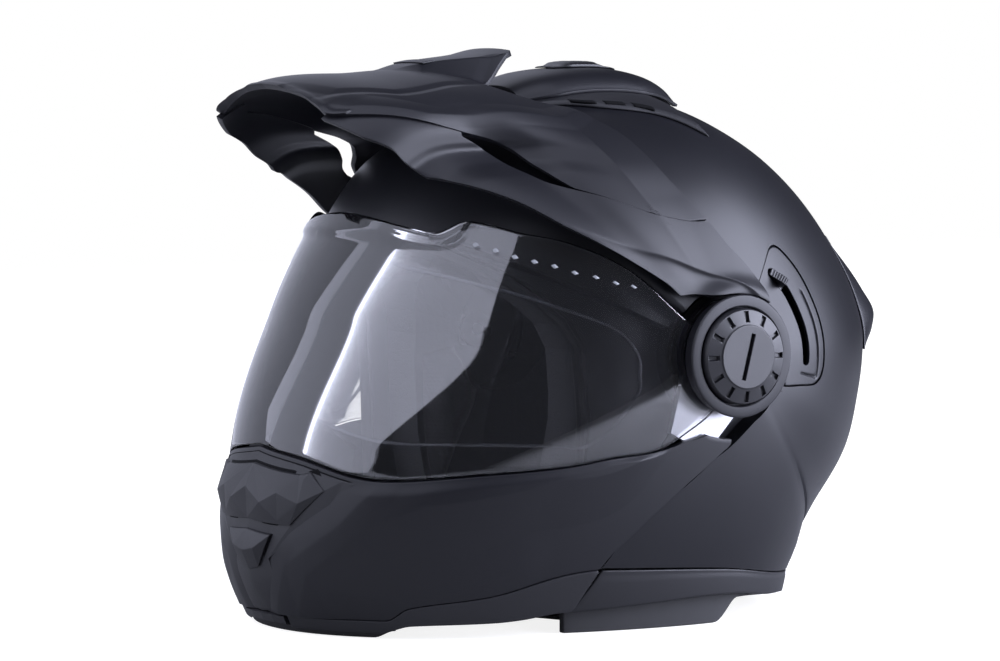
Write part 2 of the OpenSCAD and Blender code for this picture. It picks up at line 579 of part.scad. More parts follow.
// Step off an edge seen from the side, to the open side of it
function off(v, d) = let (t = [v[1], v[2]] / norm([v[1], v[2]])) [0, -t[1], t[0]] * d;
seal_path = let (m = len(seal_edge), all = concat(seal_edge, [seal_top])) around_back(
    [for (i = [0:m]) all[i] + (i == m ? [0, -sin(25), -cos(25)] * (seal_r + seal_gap)
        : off(all[i + 1] - all[max(0, i - 1)], seal_r + seal_gap))]);
function unit(v) = v / norm(v);
function way(path, i) = unit(path[min(len(path) - 1, i + 1)] - path[max(0, i - 1)]);
module tube(path, r, sides, tall = 1, up = [0, 0, 1]) {
    m = len(path);
    rings = [for (i = [0:m - 1]) let (t = way(path, i), a = unit(cross(t, up)), b = cross(a, t))
        [for (k = [0:sides - 1]) let (g = 360 * k / sides)
            path[i] + r * (cos(g) * a + tall * sin(g) * b)]];
    hoop = function(i) concat(row(i, sides), [i * sides]);
    polyhedron(points = joined(rings), faces = concat(
        joined([for (i = [0:m - 2]) strip(hoop(i), hoop(i + 1))]),
        [for (k = [1:sides - 2]) [0, k + 1, k]],
        [for (k = [1:sides - 2]) [(m - 1) * sides, (m - 1) * sides + k, (m - 1) * sides + k + 1]]),
        convexity = 6);
}
module eye_seal() {
    color("#0e0e10") seat() tube(seal_path, seal_r, 8, 1, [0, 0.5, 1]);
}

// Sun visor lever under its curved plate
module around(a0, a1) {
    rotate([0, 90, 0]) rotate_extrude(angle = a1 - a0, start = -90 - a1, $fn = 96) children();
}
module cone_strip(r0, r1, h0, h1) {
    polygon([[r0, lever_x(r0) + h0], [r1, lever_x(r1) + h0], [r1, lever_x(r1) + h1],
        [r0, lever_x(r0) + h1]]);
}
knob_r0 = 43.8;
knob_r1 = 48.2;
knob_from = 121;
knob_to = 136;
knob_h = 5.8;
lever_travel = 48;
lever_plate_t = 2;
plate_sink = 0.25;
module lever_plate(side) {
    as = steps(117.5, 200.5, 14);
    rs = [lever_in, 40, 46, 52, lever_out + 0.5];
    color("#1f2024") hand(side) difference() {
        sheet([for (a = as) [for (r = rs) [shell_x(a, r, 0) - plate_sink, -r * cos(a), r * sin(a)]]],
            [for (a = as) [for (r = rs)
                [shell_x(a, r, 0) - plate_sink - lever_plate_t, -r * cos(a), r * sin(a)]]]);
        around(knob_from - 2, knob_to + lever_travel + 2)
            cone_strip(knob_r0 - slack, knob_r1 + slack, -8, 16);
    }
}
module sun_lever() {
    color("#2c2d32") seat() {
        around(knob_from - 3, knob_to + 3) cone_strip(39.5, 53, -lever_room + 0.35,
            -lever_plate_t - slack);
        around(knob_from, knob_to) cone_strip(knob_r0, knob_r1, -lever_plate_t - slack - 0.2, knob_h);
    }
}

// Sun visor, parked between shell and liner
sun = [[[-90, sun_r], [120, sun_r]], shell_top_half_w - 20, 2.4];
sun_low = [[0, 45], [8, 43], [14, 37], [30, 34], [50, 37], [62, 45], [70, 50], [88, 50]];
sun_high = [[0, 78], [40, 78], [55, 74], [66, 67], [72, 63], [88, 63]];
sun_pin_r = 3;
module sun_visor() {
    cols = both([0, 8, 14, 22, 30, 40, 50, 58, 64, 70, 76, 82, 88]);
    color([0.25, 0.24, 0.22, 0.6]) seat() sheet(
        [for (f = cols) [for (t = steps(0, 1, 3))
            skin_at(sun, mix(curve(sun_low, abs(f)), curve(sun_high, abs(f)), t), f)]],
        [for (f = cols) [for (t = steps(0, 1, 3))
            skin_at(sun, mix(curve(sun_low, abs(f)), curve(sun_high, abs(f)), t), f, sun_wall)]]);
    color([0.25, 0.24, 0.22, 0.6]) for (side = [1, -1]) hand(side)
        plate(sun[1] - sun_wall, sun[1]) ring(sun_pin_r + pin_gap, 9);
}

module sun_pin(side) {
    color("#3a3b40") hand(side) {
        plate(sun[1] - sun_wall - 0.4, pocket_floor - shell_wall + 0.2) circle(r = sun_pin_r, $fn = 48);
        plate(pocket_floor - shell_wall + 0.2, pocket_floor) circle(r = 8.9, $fn = 48);
    }
}

// Shock liner inside the shell
liner_top = sun_r - sun_wall - 2;
liner_line = concat([[-60, 150], [-20, 135], [21, liner_top + 1.5], [25, liner_top], [84, liner_top]],
    [for (p = shell_line) if (p[0] > 89) [p[0], p[1] - shell_wall - 2]]);
liner_width = [[-60, shell_top_half_w - 25.5], [84, shell_top_half_w - 25.5],
    [125, shell_top_half_w - 18.5], [205, shell_half_w - 22], [225, shell_half_w - 18],
    [302, shell_half_w - 21]];
liner_edge = [[-60, 112], [-40, 80], [-20, 64], [0, 61], [12, 66], [21, 82], [25, 96], [29, 106]];
liner_rays = concat(steps(-57, 12, 7), [17, 21, 25, 29, 34], steps(41, 83, 6), [89], steps(98, 215, 13),
    [222, 228, 234], steps(243, 301, 6));
liner_first = search(34, liner_rays)[0];
liner_last = search(222, liner_rays)[0];
liner_n = 2.2;
liner_count = 7;
liner_hole = 30;
liner_foot = 105;
function liner_reach(a, d) =
    a < 29.5 ? curve(liner_edge, a) :
    a < 222.5 ? curve(liner_line, a) - d :
    min(liner_foot / abs(sin(a)), (curve(liner_line, a) - d) * 0.99);
function liner_at(side, a, rho, d) =
    let (r = curve(liner_line, a) - d)
    [side * (curve(liner_width, a) - d) * pow(max(0, 1 - pow(rho / r, liner_n)), 1 / liner_n),
        -rho * cos(a), rho * sin(a)];
function liner_ring(a, t, d) =
    let (end = liner_reach(a, d))
    a < 29.5 || a > 222.5 ? mix(liner_hole, min(end, (curve(liner_line, a) - d) * 0.97), t) :
    let (f = acos(pow(liner_hole / end, liner_n / 2))) end * pow(cos(f * (1 - t)), 2 / liner_n);
module eps_liner() {
    color("#141416") seat() dome(liner_rays, liner_count, liner_first, liner_last,
        function(layer, side, a, j) let (d = layer * liner_wall)
            liner_at(side, a, liner_ring(a, j / (liner_count - 1), d), d));
}

// Comfort pads, fuller in the middle than at their edges
function swell(u, v, p = 4) = (1 - pow(abs(u), p)) * (1 - pow(abs(v), p));
function lined(a, f, d) =
    let (k = 2 / liner_n, rho = (curve(liner_line, a) - liner_wall - d) * pow(cos(f), k))
    [sign(f) * (curve(liner_width, a) - liner_wall - d) * pow(abs(sin(f)), k),
        -rho * cos(a), rho * sin(a)];
crown_pad_t = 9;
pad_gap = 1;
module crown_pad() {
    us = steps(-1, 1, 10);
    vs = steps(-1, 1, 12);
    color("#1b1b1e") seat() sheet(
        [for (u = us) [for (v = vs) lined(102 + 50 * v, 40 * u, pad_gap)]],
        [for (u = us) [for (v = vs) lined(102 + 50 * v, 40 * u, pad_gap + 1
            + crown_pad_t * swell(u, v) * (1 - 0.35 * exp(-pow(u / 0.08, 2))))]]);
}
cheek_pad_t = 16;
module cheek_pad(side) {
    us = steps(-1, 1, 8);
    vs = steps(-1, 1, 8);
    rho = function(u, v) mix(34, curve(liner_edge, -32.5 + 23.5 * v) - 5, (u + 1) / 2);
    at = function(u, v, d) liner_at(1, -32.5 + 23.5 * v, rho(u, v), liner_wall + d);
    color("#1b1b1e") hand(side) sheet(
        [for (u = us) [for (v = vs) at(u, v, slack + 1 + cheek_pad_t * swell(u, v))]],
        [for (u = us) [for (v = vs) at(u, v, 2 * slack)]]);
}
roll_r = 9;
// Path on one level set in by d
function inset(path, d) = [for (i = [0:len(path) - 1]) let (t = way(path, i))
    path[i] + d * [-t[1], t[0], 0]];
module neck_roll() {
    path = inset(bead_row(-bead_in, -1), roll_r + 0.8);
    color("#1b1b1e") seat() tube([for (i = [2:len(path) - 3])
        [path[i][0], path[i][1], mix(path[i][2], -hinge_z, 0.3) + roll_r - 1]], roll_r, 10, 0.75);
}

// Breath guard that stands on the chin bar's liner
guard_half = 24;
guard_t = 3;
module breath_guard() {
    cols = both(steps(0, guard_half, 6));
    d = chin_liner_d + 2;
    color("#151517") seat() face_band(cols, [for (f = cols) curve(visor_low, abs(f)) - 2.3],
        [for (f = cols) curve(visor_low, abs(f)) + 5 - 3 * pow(f / guard_half, 2)], 3, d, d + guard_t);
}

// Chin strap: webbing from a rivet on each side to the buckle, which is closed
strap_w = 24;
strap_t = 1.6;
strap_z = 4.6 - hinge_z;
rivet_r = 2.5;
rivet_at = [-42.3, 13.5 - hinge_z];
rivet_x = 93.5;
rivet_head_x = 87.2;
strap_way = [[88.5, -42, 19 - hinge_z], [88.5, -42.5, 8.5 - hinge_z], [85.5, -45.5, 5.4 - hinge_z],
    [79, -49.5, strap_z], [66, -57, strap_z], [50, -64, strap_z]];
module strap(side) {
    path = concat(strap_way, [[side > 0 ? 37 : -22, -66, strap_z]]);
    n = len(path);
    lay = function(s) [for (i = [0:n - 1]) let (p = path[i],
            t = unit(path[min(n - 1, i + 1)] - path[max(0, i - 1)]),
            up = unit(cross([0, 1, 0], t)))
        [for (v = [-0.5, 0, 0.5]) p + v * strap_w * [0, 1, 0] - s * strap_t / 2 * up]];
    color("#161617") hand(side) difference() {
        sheet(lay(1), lay(-1));
        plate(rivet_head_x - 1, rivet_x) translate(rivet_at) circle(r = rivet_r + pin_gap, $fn = 32);
    }
}
module strap_rivets() {
    color("#8a8b90") for (side = [1, -1]) hand(side) {
        plate(rivet_head_x, rivet_x) translate(rivet_at) circle(r = rivet_r, $fn = 32);
        plate(rivet_head_x - 1.2, rivet_head_x) translate(rivet_at) circle(r = 4.5, $fn = 32);
    }
}
buckle_at = [52, -66, strap_z + strap_t / 2 + 0.3];
buckle_l = 34;
buckle_t = 1.5;
lever_pin_r = 1.6;
lever_pin_up = 5.2;
tongue_from = 10;
tongue_step = 30;
tongue_to = 60;
module buckle_base() {
    color("#8a8b90") seat() translate(buckle_at) {
        translate([-buckle_l / 2, -strap_w / 2, 0]) cube([buckle_l, strap_w, buckle_t]);
        for (v = [-1, 1]) translate([buckle_l / 2 - 4, v * (strap_w / 2 - 1), 0]) rotate([90, 0, 0])
            translate([0, 0, -1]) linear_extrude(2) difference() {
                union() {
                    translate([-3.4, 0]) square([6.8, lever_pin_up]);
                    translate([0, lever_pin_up]) circle(r = 3.4, $fn = 40);
                }
                translate([0, lever_pin_up]) circle(r = lever_pin_r + pin_gap, $fn = 40);
            }
    }
}
module buckle_lever() {
    color("#26272b") seat() translate(buckle_at + [buckle_l / 2 - 4, 0, lever_pin_up]) {
        rotate([90, 0, 0]) translate([0, 0, -strap_w / 2]) linear_extrude(strap_w)
            circle(r = lever_pin_r, $fn = 40);
        rotate([90, 0, 0]) translate([0, 0, 0.5 - strap_w / 2 + 2]) linear_extrude(strap_w - 5)
            polygon([[-26, -0.6], [-24, -1.9], [-6, -2.1], [1.2, -2.1], [2.2, 0], [1.2, 2], [-8, 2.4],
                [-20, 1.6], [-25.5, 2.4]]);
    }
}
module buckle_tongue() {
    up = strap_z + strap_t / 2 + 0.1;
    top = buckle_at[2] + buckle_t + 0.1;
    color("#8a8b90") seat() difference() {
        union() {
            translate([tongue_from, buckle_at[1] - 9, up])
                cube([tongue_step - tongue_from, 18, top + 0.2 - up]);
            translate([tongue_step - 1, buckle_at[1] - 7, top]) cube([tongue_to - tongue_step + 1, 14, 1.2]);
        }
        for (i = [0:4]) translate([tongue_step + 6 + 3.5 * i, buckle_at[1] - 4.5, top - 1])
            cube([1.4, 9, 4]);
    }
}

outer_shell();
eps_liner();
crown_pad();
cheek_pad(1);  // cheek_pad_left
cheek_pad(-1);  // cheek_pad_right
neck_roll();
base_trim();
base_bead();
eye_seal();
vent_base();
vent_cover();
vent_slider();
rear_spoiler();
pivot_plate(1);  // pivot_plate_left
pivot_plate(-1);  // pivot_plate_right
lever_plate(1);  // lever_plate_left
lever_plate(-1);  // lever_plate_right
sun_lever();
sun_visor();
sun_pin(1);  // sun_pin_left
sun_pin(-1);  // sun_pin_right
chin_bar();
chin_liner();
chin_trim();
chin_bead();
vent_panel();
upper_shutter();
lower_shutter();
release_button();
chin_arm(1);  // chin_arm_left
chin_arm(-1);  // chin_arm_right
peak_cover();
peak_side(1);  // peak_side_left
peak_side(-1);  // peak_side_right
peak_dial(1);  // peak_dial_left
peak_dial(-1);  // peak_dial_right
visor();
visor_insert();
visor_hub(1);  // visor_hub_left
visor_hub(-1);  // visor_hub_right
breath_guard();
strap(1);  // strap_left
strap(-1);  // strap_right
buckle_base();
buckle_lever();
buckle_tongue();
strap_rivets();
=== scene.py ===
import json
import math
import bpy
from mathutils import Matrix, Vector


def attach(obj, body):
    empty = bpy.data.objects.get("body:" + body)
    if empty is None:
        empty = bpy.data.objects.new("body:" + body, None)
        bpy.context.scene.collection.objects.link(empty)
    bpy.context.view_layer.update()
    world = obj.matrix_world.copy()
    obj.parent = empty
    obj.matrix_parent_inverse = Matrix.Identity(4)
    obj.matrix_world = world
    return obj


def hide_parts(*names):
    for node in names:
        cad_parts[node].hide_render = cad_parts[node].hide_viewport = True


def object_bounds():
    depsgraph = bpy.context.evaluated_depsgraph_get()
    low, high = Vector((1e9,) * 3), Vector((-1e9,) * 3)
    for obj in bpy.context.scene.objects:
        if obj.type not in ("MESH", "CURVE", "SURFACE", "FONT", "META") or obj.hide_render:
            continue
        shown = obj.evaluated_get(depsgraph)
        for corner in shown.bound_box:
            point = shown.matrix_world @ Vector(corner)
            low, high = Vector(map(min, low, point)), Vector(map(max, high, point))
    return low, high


bl_info = {
    "name": "Modular helmet with a peak",
    "version": (1, 0, 0),
    "blender": (4, 5, 0),
    "location": "View3D > Sidebar > Helmet",
    "description": "Dresses the packed helmet: skins, visor, vents, lining and studio",
    "category": "Object",
}

import bmesh
import bpy
import numpy as np
from mathutils import Matrix, Quaternion, Vector
from mathutils.geometry import delaunay_2d_cdt

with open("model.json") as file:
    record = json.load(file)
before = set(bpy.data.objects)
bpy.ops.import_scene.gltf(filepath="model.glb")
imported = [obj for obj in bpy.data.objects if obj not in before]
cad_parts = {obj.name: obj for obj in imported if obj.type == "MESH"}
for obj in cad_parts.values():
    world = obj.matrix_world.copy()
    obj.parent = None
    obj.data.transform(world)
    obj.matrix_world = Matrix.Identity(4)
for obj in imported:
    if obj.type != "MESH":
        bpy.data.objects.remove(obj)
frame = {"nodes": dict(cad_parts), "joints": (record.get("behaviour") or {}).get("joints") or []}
CAD_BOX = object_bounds()
MM = 0.001
HINGE = np.array(next(j for j in frame["joints"] if j["name"] == "chin_bar_lift")["pos_m"]) / MM

# Points are placed round the hinge axis. An angle runs from the front over the crown, a lateral
# angle from the middle of the helmet to its side, both in degrees. Lengths are in mm, and a level
# is a depth under the hinge.

# Outlines of the skins seen from the side: angle and radius
SHELL_LINE = [(-60, 190), (0, 150), (25, 143.5), (38, 140), (50, 134.5), (60, 129), (75, 124),
              (90, 121.5), (115, 120.5), (130, 122), (143, 124.5), (157, 129), (170, 135),
              (180, 138.5), (193, 138), (206, 139.5), (220, 137.5), (228, 140), (235, 150),
              (270, 190), (302, 195)]
FACE_LINE = [(-110, 230), (-60, 228), (-34.5, 217), (-26, 208), (-13.8, 187.6), (7, 160),
             (27.4, 148.5), (45, 146)]
PEAK_LINE = [(20, 240), (34.9, 217.6), (44.8, 184.6), (49.4, 173), (63.9, 140.8), (75, 131),
             (90, 127.5), (115, 126.5), (140, 128)]
# Half width of the shell at an angle
SHELL_WIDTH = [(-60, 113.5), (30, 113.5), (44, 119.5), (150, 119.5), (175, 121.7),
               (205, 123.35), (240, 125), (300, 124)]
# Share by which the peak's side is drawn in: at a lateral angle, and how much of it at an angle
TUCK = [(20, 0), (30, 0.06), (36, 0.12), (41, 0.2), (44, 0.245), (47, 0.225), (51, 0.14),
        (57, 0.085), (66, 0.03), (75, 0)]
TUCK_SHARE = [(20, 1), (43, 1), (52, 0.5), (62, 0)]


def curve(table, a):
    """Smooth curve through pairs of key and value, with no overshoot"""
    x, y = np.array(table, float).T
    a = np.asarray(a, float)
    h = np.diff(x)
    s = np.diff(y) / h
    m = np.concatenate([[s[0]], np.where(s[:-1] * s[1:] > 0,
                        2 * s[:-1] * s[1:] / np.where(s[:-1] + s[1:] == 0, 1, s[:-1] + s[1:]), 0),
                        [s[-1]]])
    i = np.clip(np.searchsorted(x, a, side="right") - 1, 0, len(x) - 2)
    u = np.clip((a - x[i]) / h[i], 0, 1)
    v = 1 - u
    return (y[i] * v * v * (1 + 2 * u) + y[i + 1] * u * u * (1 + 2 * v)
            + h[i] * u * v * (v * m[i] - u * m[i + 1]))


def placed(x, a, rho):
    """Points with a half width x, from their angle and radius seen from the side"""
    x, a, rho = np.broadcast_arrays(x, a, rho)
    return np.stack([x, -rho * np.cos(np.radians(a)), rho * np.sin(np.radians(a))], -1)


class Skin:
    """A skin round the hinge: an outline, a half width and the power of its superellipse"""

    def __init__(self, line, width, power):
        self.line, self.width, self.power = line, width, power

    def half(self, a):
        """Half width at an angle"""
        return curve(self.width, a) if isinstance(self.width, list) else self.width

    def at(self, a, f, d=0.0):
        """Point at angle a and lateral angle f, in degrees, set in by d mm"""
        a, f, d = np.broadcast_arrays(*(np.asarray(v, float) for v in (a, f, d)))
        k = 2 / self.power
        turn = np.radians(f)
        rho = (curve(self.line, a) - d) * np.abs(np.cos(turn)) ** k
        x = np.sign(f) * (self.half(a) - d) * np.abs(np.sin(turn)) ** k
        return placed(x, a, rho)

    def lateral(self, y, z):
        """Lateral angle and angle of a point seen from the side"""
        rho, a = np.hypot(y, z), np.degrees(np.arctan2(z, -y))
        share = np.minimum(1, rho / curve(self.line, a))
        return np.degrees(np.arccos(share ** (self.power / 2))), a

    def dip(self, f, z, d=0.0):
        """Angle at which the skin meets the level z under the hinge"""
        a = np.full(np.shape(f), -40.0)
        for _ in range(14):
            k = (curve(self.line, a) - d) * np.cos(np.radians(f)) ** (2 / self.power)
            a = -np.degrees(np.arcsin(np.minimum(1, z / k)))
        return a


class Tucked(Skin):
    """The peak's skin: its side is drawn in beside the scoop"""

    def at(self, a, f, d=0.0):
        """Point of the skin, as on a plain one but drawn in"""
        out = super().at(a, f, d)
        out[..., 0] *= 1 - curve(TUCK, np.abs(f)) * curve(TUCK_SHARE, a)
        return out


SHELL = Skin(SHELL_LINE, SHELL_WIDTH, 2.2)
FACE = Skin(FACE_LINE, 124, 2.1)
PEAK = Tucked(PEAK_LINE, 129, 2.1)


def edge_of(skin, points):
    """Edge on a skin as pairs of lateral angle and angle, from points seen from the side"""
    return [tuple(float(v) for v in skin.lateral(y, z)) for y, z in points]


# Edges: lateral angle and angle
VISOR_LOW = edge_of(FACE, [(-190, -43), (-178, -45), (-162, -53), (-123, -51), (-70, -46),
                           (-29, -40), (-8, -34), (1, -28.3)])
VISOR_HIGH = edge_of(FACE, [(-140, 68), (-125, 58), (-122, 57), (-109, 63), (-93, 58),
                            (-74, 53), (-47, 38), (-23.5, 16)])
CHIN_REAR = edge_of(FACE, [(-77, -122), (-72, -111), (-63, -95), (-46, -78), (-27, -62),
                           (-6, -46), (14, -30), (15, -29)])
BLADE_LOW = edge_of(PEAK, [(-163.6, 102), (-152, 97), (-144, 90), (-139, 87), (-135, 84),
                           (-130, 83), (-117, 79), (-97, 70), (-85, 62.3), (-69, 54), (-52, 44.5),
                           (-34, 32), (-21, 19)])
COVER_LOW = [(0, 34.9), (12, 34.4), (18, 33.4), (22, 32.6), (26.4, 34.4), (32, 38), (38, 42.4),
             (41, 45.4), (45, 47), (50, 46.9), (54, 47.6), (57, 52.5), (59.5, 60), (61.5, 74)]
COVER_HIGH = [(0, 66), (8, 66), (11, 61.5), (15, 57), (22, 60), (27, 66.5), (32, 69.5), (37, 72),
              (48.5, 74.5), (56, 78), (61.5, 82.5)]
BLADE_HIGH = [(26.4, 33.9), (32, 37.4), (38, 41.3), (39.3, 41.8), (44, 43.2), (48.8, 43.4),
              (52, 44.2), (54, 46.2), (57, 52.1), (59.5, 59.6), (61.5, 73.5), (62.5, 83.5),
              (64, 85), (68, 91), (72, 103), (75.3, 115), (78, 124)]
# Folds and grooves of the chin bar and the peak: lateral angle and angle
FRAME_FOLD = [(11, -37), (12.2, -33.9), (16.8, -29), (31.4, -24.8), (41.3, -24.4), (52, -27.5),
              (62.6, -31.5), (73, -43)]
INNER_FOLD = [(5.4, -34), (11.1, -27.6), (24.9, -23.7), (33.3, -19.1)]
LOWER_FOLD = [(16.7, -30), (33.2, -36.3), (52.3, -42.8)]
BLADE_FOLD = [(26.4, 30.5), (32, 31), (45.4, 32.5), (49.3, 33.4), (54, 34.2), (59.2, 35.1),
              (64.3, 38.7), (68.5, 45.6), (72.5, 65), (76.1, 94.5), (78, 110)]
COVER_FOLD = [(20.5, 34), (23.8, 34.8), (31.8, 40.6), (33.1, 46), (32.3, 60.5), (29, 66)]
COVER_LINE = [(7.3, 34.6), (17.3, 35.9), (21.5, 41.9), (17.3, 53.8), (8.6, 62)]
# Seam over the chin trim and the trim's foot: lateral angle and level
CHIN_TRIM_LINE = [(0, 119), (29, 119), (34, 113), (46, 108), (61, 97), (90, 97)]
CHIN_FOOT = [(0, 125), (27, 125), (33, 121.5), (45, 120.3), (48, 119.3), (53, 116.5), (60, 116)]
# Openings and pockets of the shell: angle and radius
EYE_EDGE = [(-60, 128), (-40, 84), (-20, 68), (0, 65), (12, 72), (21, 94), (23.5, 116), (25, 144)]
LEVER_RIM = [(122.6, 36), (123.1, 56), (124.2, 59.3), (126.5, 61.5), (130, 62.2), (160, 62.4),
             (187, 62.2), (192, 61.2), (196.8, 57.2), (200.9, 46.3), (206.5, 36.2)]
CHIN_SEAM = [(212, 32), (245, 33.5), (277, 46), (293.5, 68), (300, 90), (302, 103)]
# Seam over the lower trim: angle and level
SEAM_LINE = [(220, 113), (240, 109), (267, 101), (302, 97)]
# Fold under the visor's top edge, and the raised marks beside it, light grey as a painted
# highlight: lateral angle and angle
FOLD = [(0, 20.8), (19.7, 21.7), (29.1, 23), (34, 27)]
MARKS = [(36.5, 25.4), (40.8, 25.6), (44.9, 25.7), (48.8, 26.4), (52.7, 27.3), (56.7, 28.0),
         (60.6, 29.7), (64.4, 31.3), (67.6, 33.8)]
# Upper edge of the fog insert's bead, and the front inserts: points from the hinge. A point of an
# insert is (x, z, height over the chin bar) of its left half
INSERT_TOP = [(0, -146, 45.5), (16, -143, 48.5), (52, -133.5, 42), (81, -113.5, 35),
              (101.5, -88, 26), (116, -59, 13), (119, -51, 3), (120, -49, -7), (120, -54, -19),
              (117, -67, -35)]
PANEL_RIM = [(51, -67.5, 0), (15, -93, 0), (18, -101, 0), (8, -118, 0), (0, -119, 0)]
PANEL_PEAKS = [(0, -72, 0.4), (0, -105, 1.2), (45, -60, 1.2)]
UPPER_RIM = [(0, -49.5, 0), (33.5, -52.6, 0), (39, -51.2, 0), (47, -59, 0), (31, -75.5, 0),
             (0, -74.5, 0)]
UPPER_PEAKS = [(23.6, -60, 3), (0, -58.8, 3), (13, -65, 3.4), (0, -65.5, 1.5), (36.6, -64, 3),
               (36.6, -54, 0.8), (23.6, -73.5, 0.6)]
LOWER_RIM = [(0, -79.5, 0), (18.4, -81, 0), (8.4, -96.4, 0), (0, -98.5, 0)]
LOWER_PEAKS = [(8.8, -86.4, 2.8), (0, -88, 3), (13.2, -84, 1.6)]
MOUTH_RIM = [(0, -106.5, 0), (8, -106.5, 0), (7, -112, 0), (0, -112.5, 0)]
# Crown vent: spread of its base by share of its length; half width and height of its hump, half
# width of its slider and height of the rear spoiler at an angle
VENT_SPREAD = [(0, 12), (0.15, 15), (0.35, 21), (0.7, 26), (1, 33)]
HUMP_HALF = [(66, 10), (75, 12.5), (95, 12.5), (112, 5)]
HUMP_RISE = [(66, 7), (75, 9), (90, 9), (100, 8), (107, 6), (112, 2.5)]
SLIDER_HALF = [(80, 2.6), (84, 3.6), (94, 3.4), (96, 2)]
SPOILER_RISE = [(155, 1), (163, 6), (170, 10.5), (174.5, 13.5), (178, 10), (182.5, 1.2)]
# Foot of the lower trim and the line that the bead stands on: share of the way back and level
TRIM_FOOT = [(0, 118), (0.14, 116.5), (0.28, 115.2), (0.45, 114), (0.55, 114.3), (0.74, 118),
             (0.84, 119.5), (0.91, 122), (0.96, 124.5), (1, 126)]
GROUND = [(0, 128), (0.5, 128), (0.62, 117.5), (0.84, 120.5), (0.91, 123), (0.96, 126),
          (0.985, 128), (1, 128)]
# Chin strap: level of the buckle, the way from the rivet, and its ends, as points from the hinge
# on the left side. The right strap is mirrored, and its end lies past the middle
STRAP_Z = 4.6 - 128
STRAP_WAY = [(88.5, -42, 19 - 128), (88.5, -42.5, 8.5 - 128), (85.5, -45.5, 5.4 - 128),
             (79, -49.5, STRAP_Z), (66, -57, STRAP_Z), (50, -64, STRAP_Z)]
STRAP_ENDS = {"left": (37, -66, STRAP_Z), "right": (-22, -66, STRAP_Z)}

# Radius of the visor's hub
HUB_R = 26
# Where the shell changes, in degrees: end of the eye port, ends of the lever's pocket, start of
# the chin bar's seam and of the straight lower edge
EYE_END = 24.9
LEVER_START, LEVER_END = 122.6, 206.4
CHIN_START = 212
LOWER_START = 229
# Half width at the floor of the hinge pocket, its radius where nothing cuts it, and the floor of
# the lever's pocket: half width at a radius of 33 and its slope outwards
POCKET_FLOOR, POCKET_R = 113, 36.0
LEVER_FLOOR, LEVER_SLOPE = 108.3, 0.315
# Lower edge's first ray behind the chin bar
BACK_START = 301.6
# The peak's hood rises from this depth in front of the hinge, over this length
HOOD_FRONT, HOOD_LENGTH = 114, 60
# Dial: radius, radius of its flat middle, half widths of its face and its back, number of grips
DIAL_R, DIAL_FLAT, DIAL_FACE, DIAL_BACK, GRIPS = 22.4, 15, 136, 128.2, 12


def shell_x(a, rho, d=0.0):
    """Half width of the shell, set in by d mm, at a point seen from the side"""
    q = np.clip(rho / (curve(SHELL_LINE, a) - d), 0, 1)
    return (curve(SHELL_WIDTH, a) - d) * (1 - q ** SHELL.power) ** (1 / SHELL.power)


def hub_end(skin, a, rho):
    """Lateral angle at which a skin stands at a radius seen from the side"""
    return np.degrees(np.arccos((rho / curve(skin.line, a)) ** (skin.power / 2)))


def step_cols(*stops):
    """Values from stop to stop: (start, end, count) runs joined, each without its last"""
    out = []
    for start, end, count in stops:
        out += list(np.linspace(start, end, count + 1)[:-1])
    return np.array(out + [stops[-1][1]])


def mirrored(cols):
    """Values from 0 on, carried to the other side"""
    return np.concatenate([-cols[:0:-1], cols])


def smooth_step(lo, hi, v):
    """0 up to a first value, 1 from a second one on, and a soft step between"""
    t = np.clip((np.asarray(v, float) - lo) / (hi - lo), 0, 1)
    return t * t * (3 - 2 * t)


def bump_at(v, middle, width):
    """Soft ridge of height 1 about a value"""
    return np.exp(-((np.asarray(v, float) - middle) / width) ** 2)


def lattice(first, second):
    """Two grids of values, each from a start to an end in a number of steps"""
    return np.meshgrid(np.linspace(*first), np.linspace(*second), indexing="ij")


def line_gap(f, a, points):
    """Distance in degrees from each point (f, a) to a line through a few"""
    best = np.full(np.broadcast(f, a).shape, 1e9)
    for (f0, a0), (f1, a1) in zip(points, points[1:]):
        df, da = f1 - f0, a1 - a0
        t = np.clip(((f - f0) * df + (a - a0) * da) / (df * df + da * da), 0, 1)
        best = np.minimum(best, np.hypot(f - f0 - t * df, a - a0 - t * da))
    return best


def spot_of(skin, x, y, z):
    """Lateral angle and angle of a point on a skin"""
    return (math.degrees(math.asin(min(1, (abs(x) / skin.width) ** (skin.power / 2)))),
            math.degrees(math.atan2(z, -y)))


def normals(grid):
    """Unit normals of a grid of points, facing away from the hinge"""
    du, dv = np.gradient(grid, axis=0), np.gradient(grid, axis=1)
    n = np.cross(du, dv)
    n /= np.maximum(np.linalg.norm(n, axis=-1, keepdims=True), 1e-9)
    flip = np.sign((n * grid).sum(-1).mean())
    return n * flip


# Meshes

def mesh_object(name, verts, faces, smooth=True):
    """Object from points in mm round the hinge"""
    mesh = bpy.data.meshes.new(name)
    pts = (np.asarray(verts, float) + HINGE) * MM
    mesh.from_pydata([tuple(p) for p in pts], [], [tuple(int(i) for i in f) for f in faces])
    obj = bpy.data.objects.new(name, mesh)
    bpy.context.scene.collection.objects.link(obj)
    tidy(obj, smooth)
    return obj


def tidy(obj, smooth=True, merge=1e-6):
    """Merges double points, drops empty faces and turns the faces outwards"""
    bm = bmesh.new()
    bm.from_mesh(obj.data)
    bmesh.ops.remove_doubles(bm, verts=bm.verts, dist=merge)
    bmesh.ops.dissolve_degenerate(bm, edges=bm.edges, dist=merge)
    bmesh.ops.recalc_face_normals(bm, faces=bm.faces)
    for face in bm.faces:
        face.smooth = smooth
    bm.to_mesh(obj.data)
    bm.free()


def sharpen(obj, degrees):
    """Marks edges between faces that meet at more than an angle"""
    bm = bmesh.new()
    bm.from_mesh(obj.data)
    limit = math.radians(degrees)
    for edge in bm.edges:
        edge.smooth = not (edge.is_manifold and edge.calc_face_angle(0) > limit)
    bm.to_mesh(obj.data)
    bm.free()
    return obj


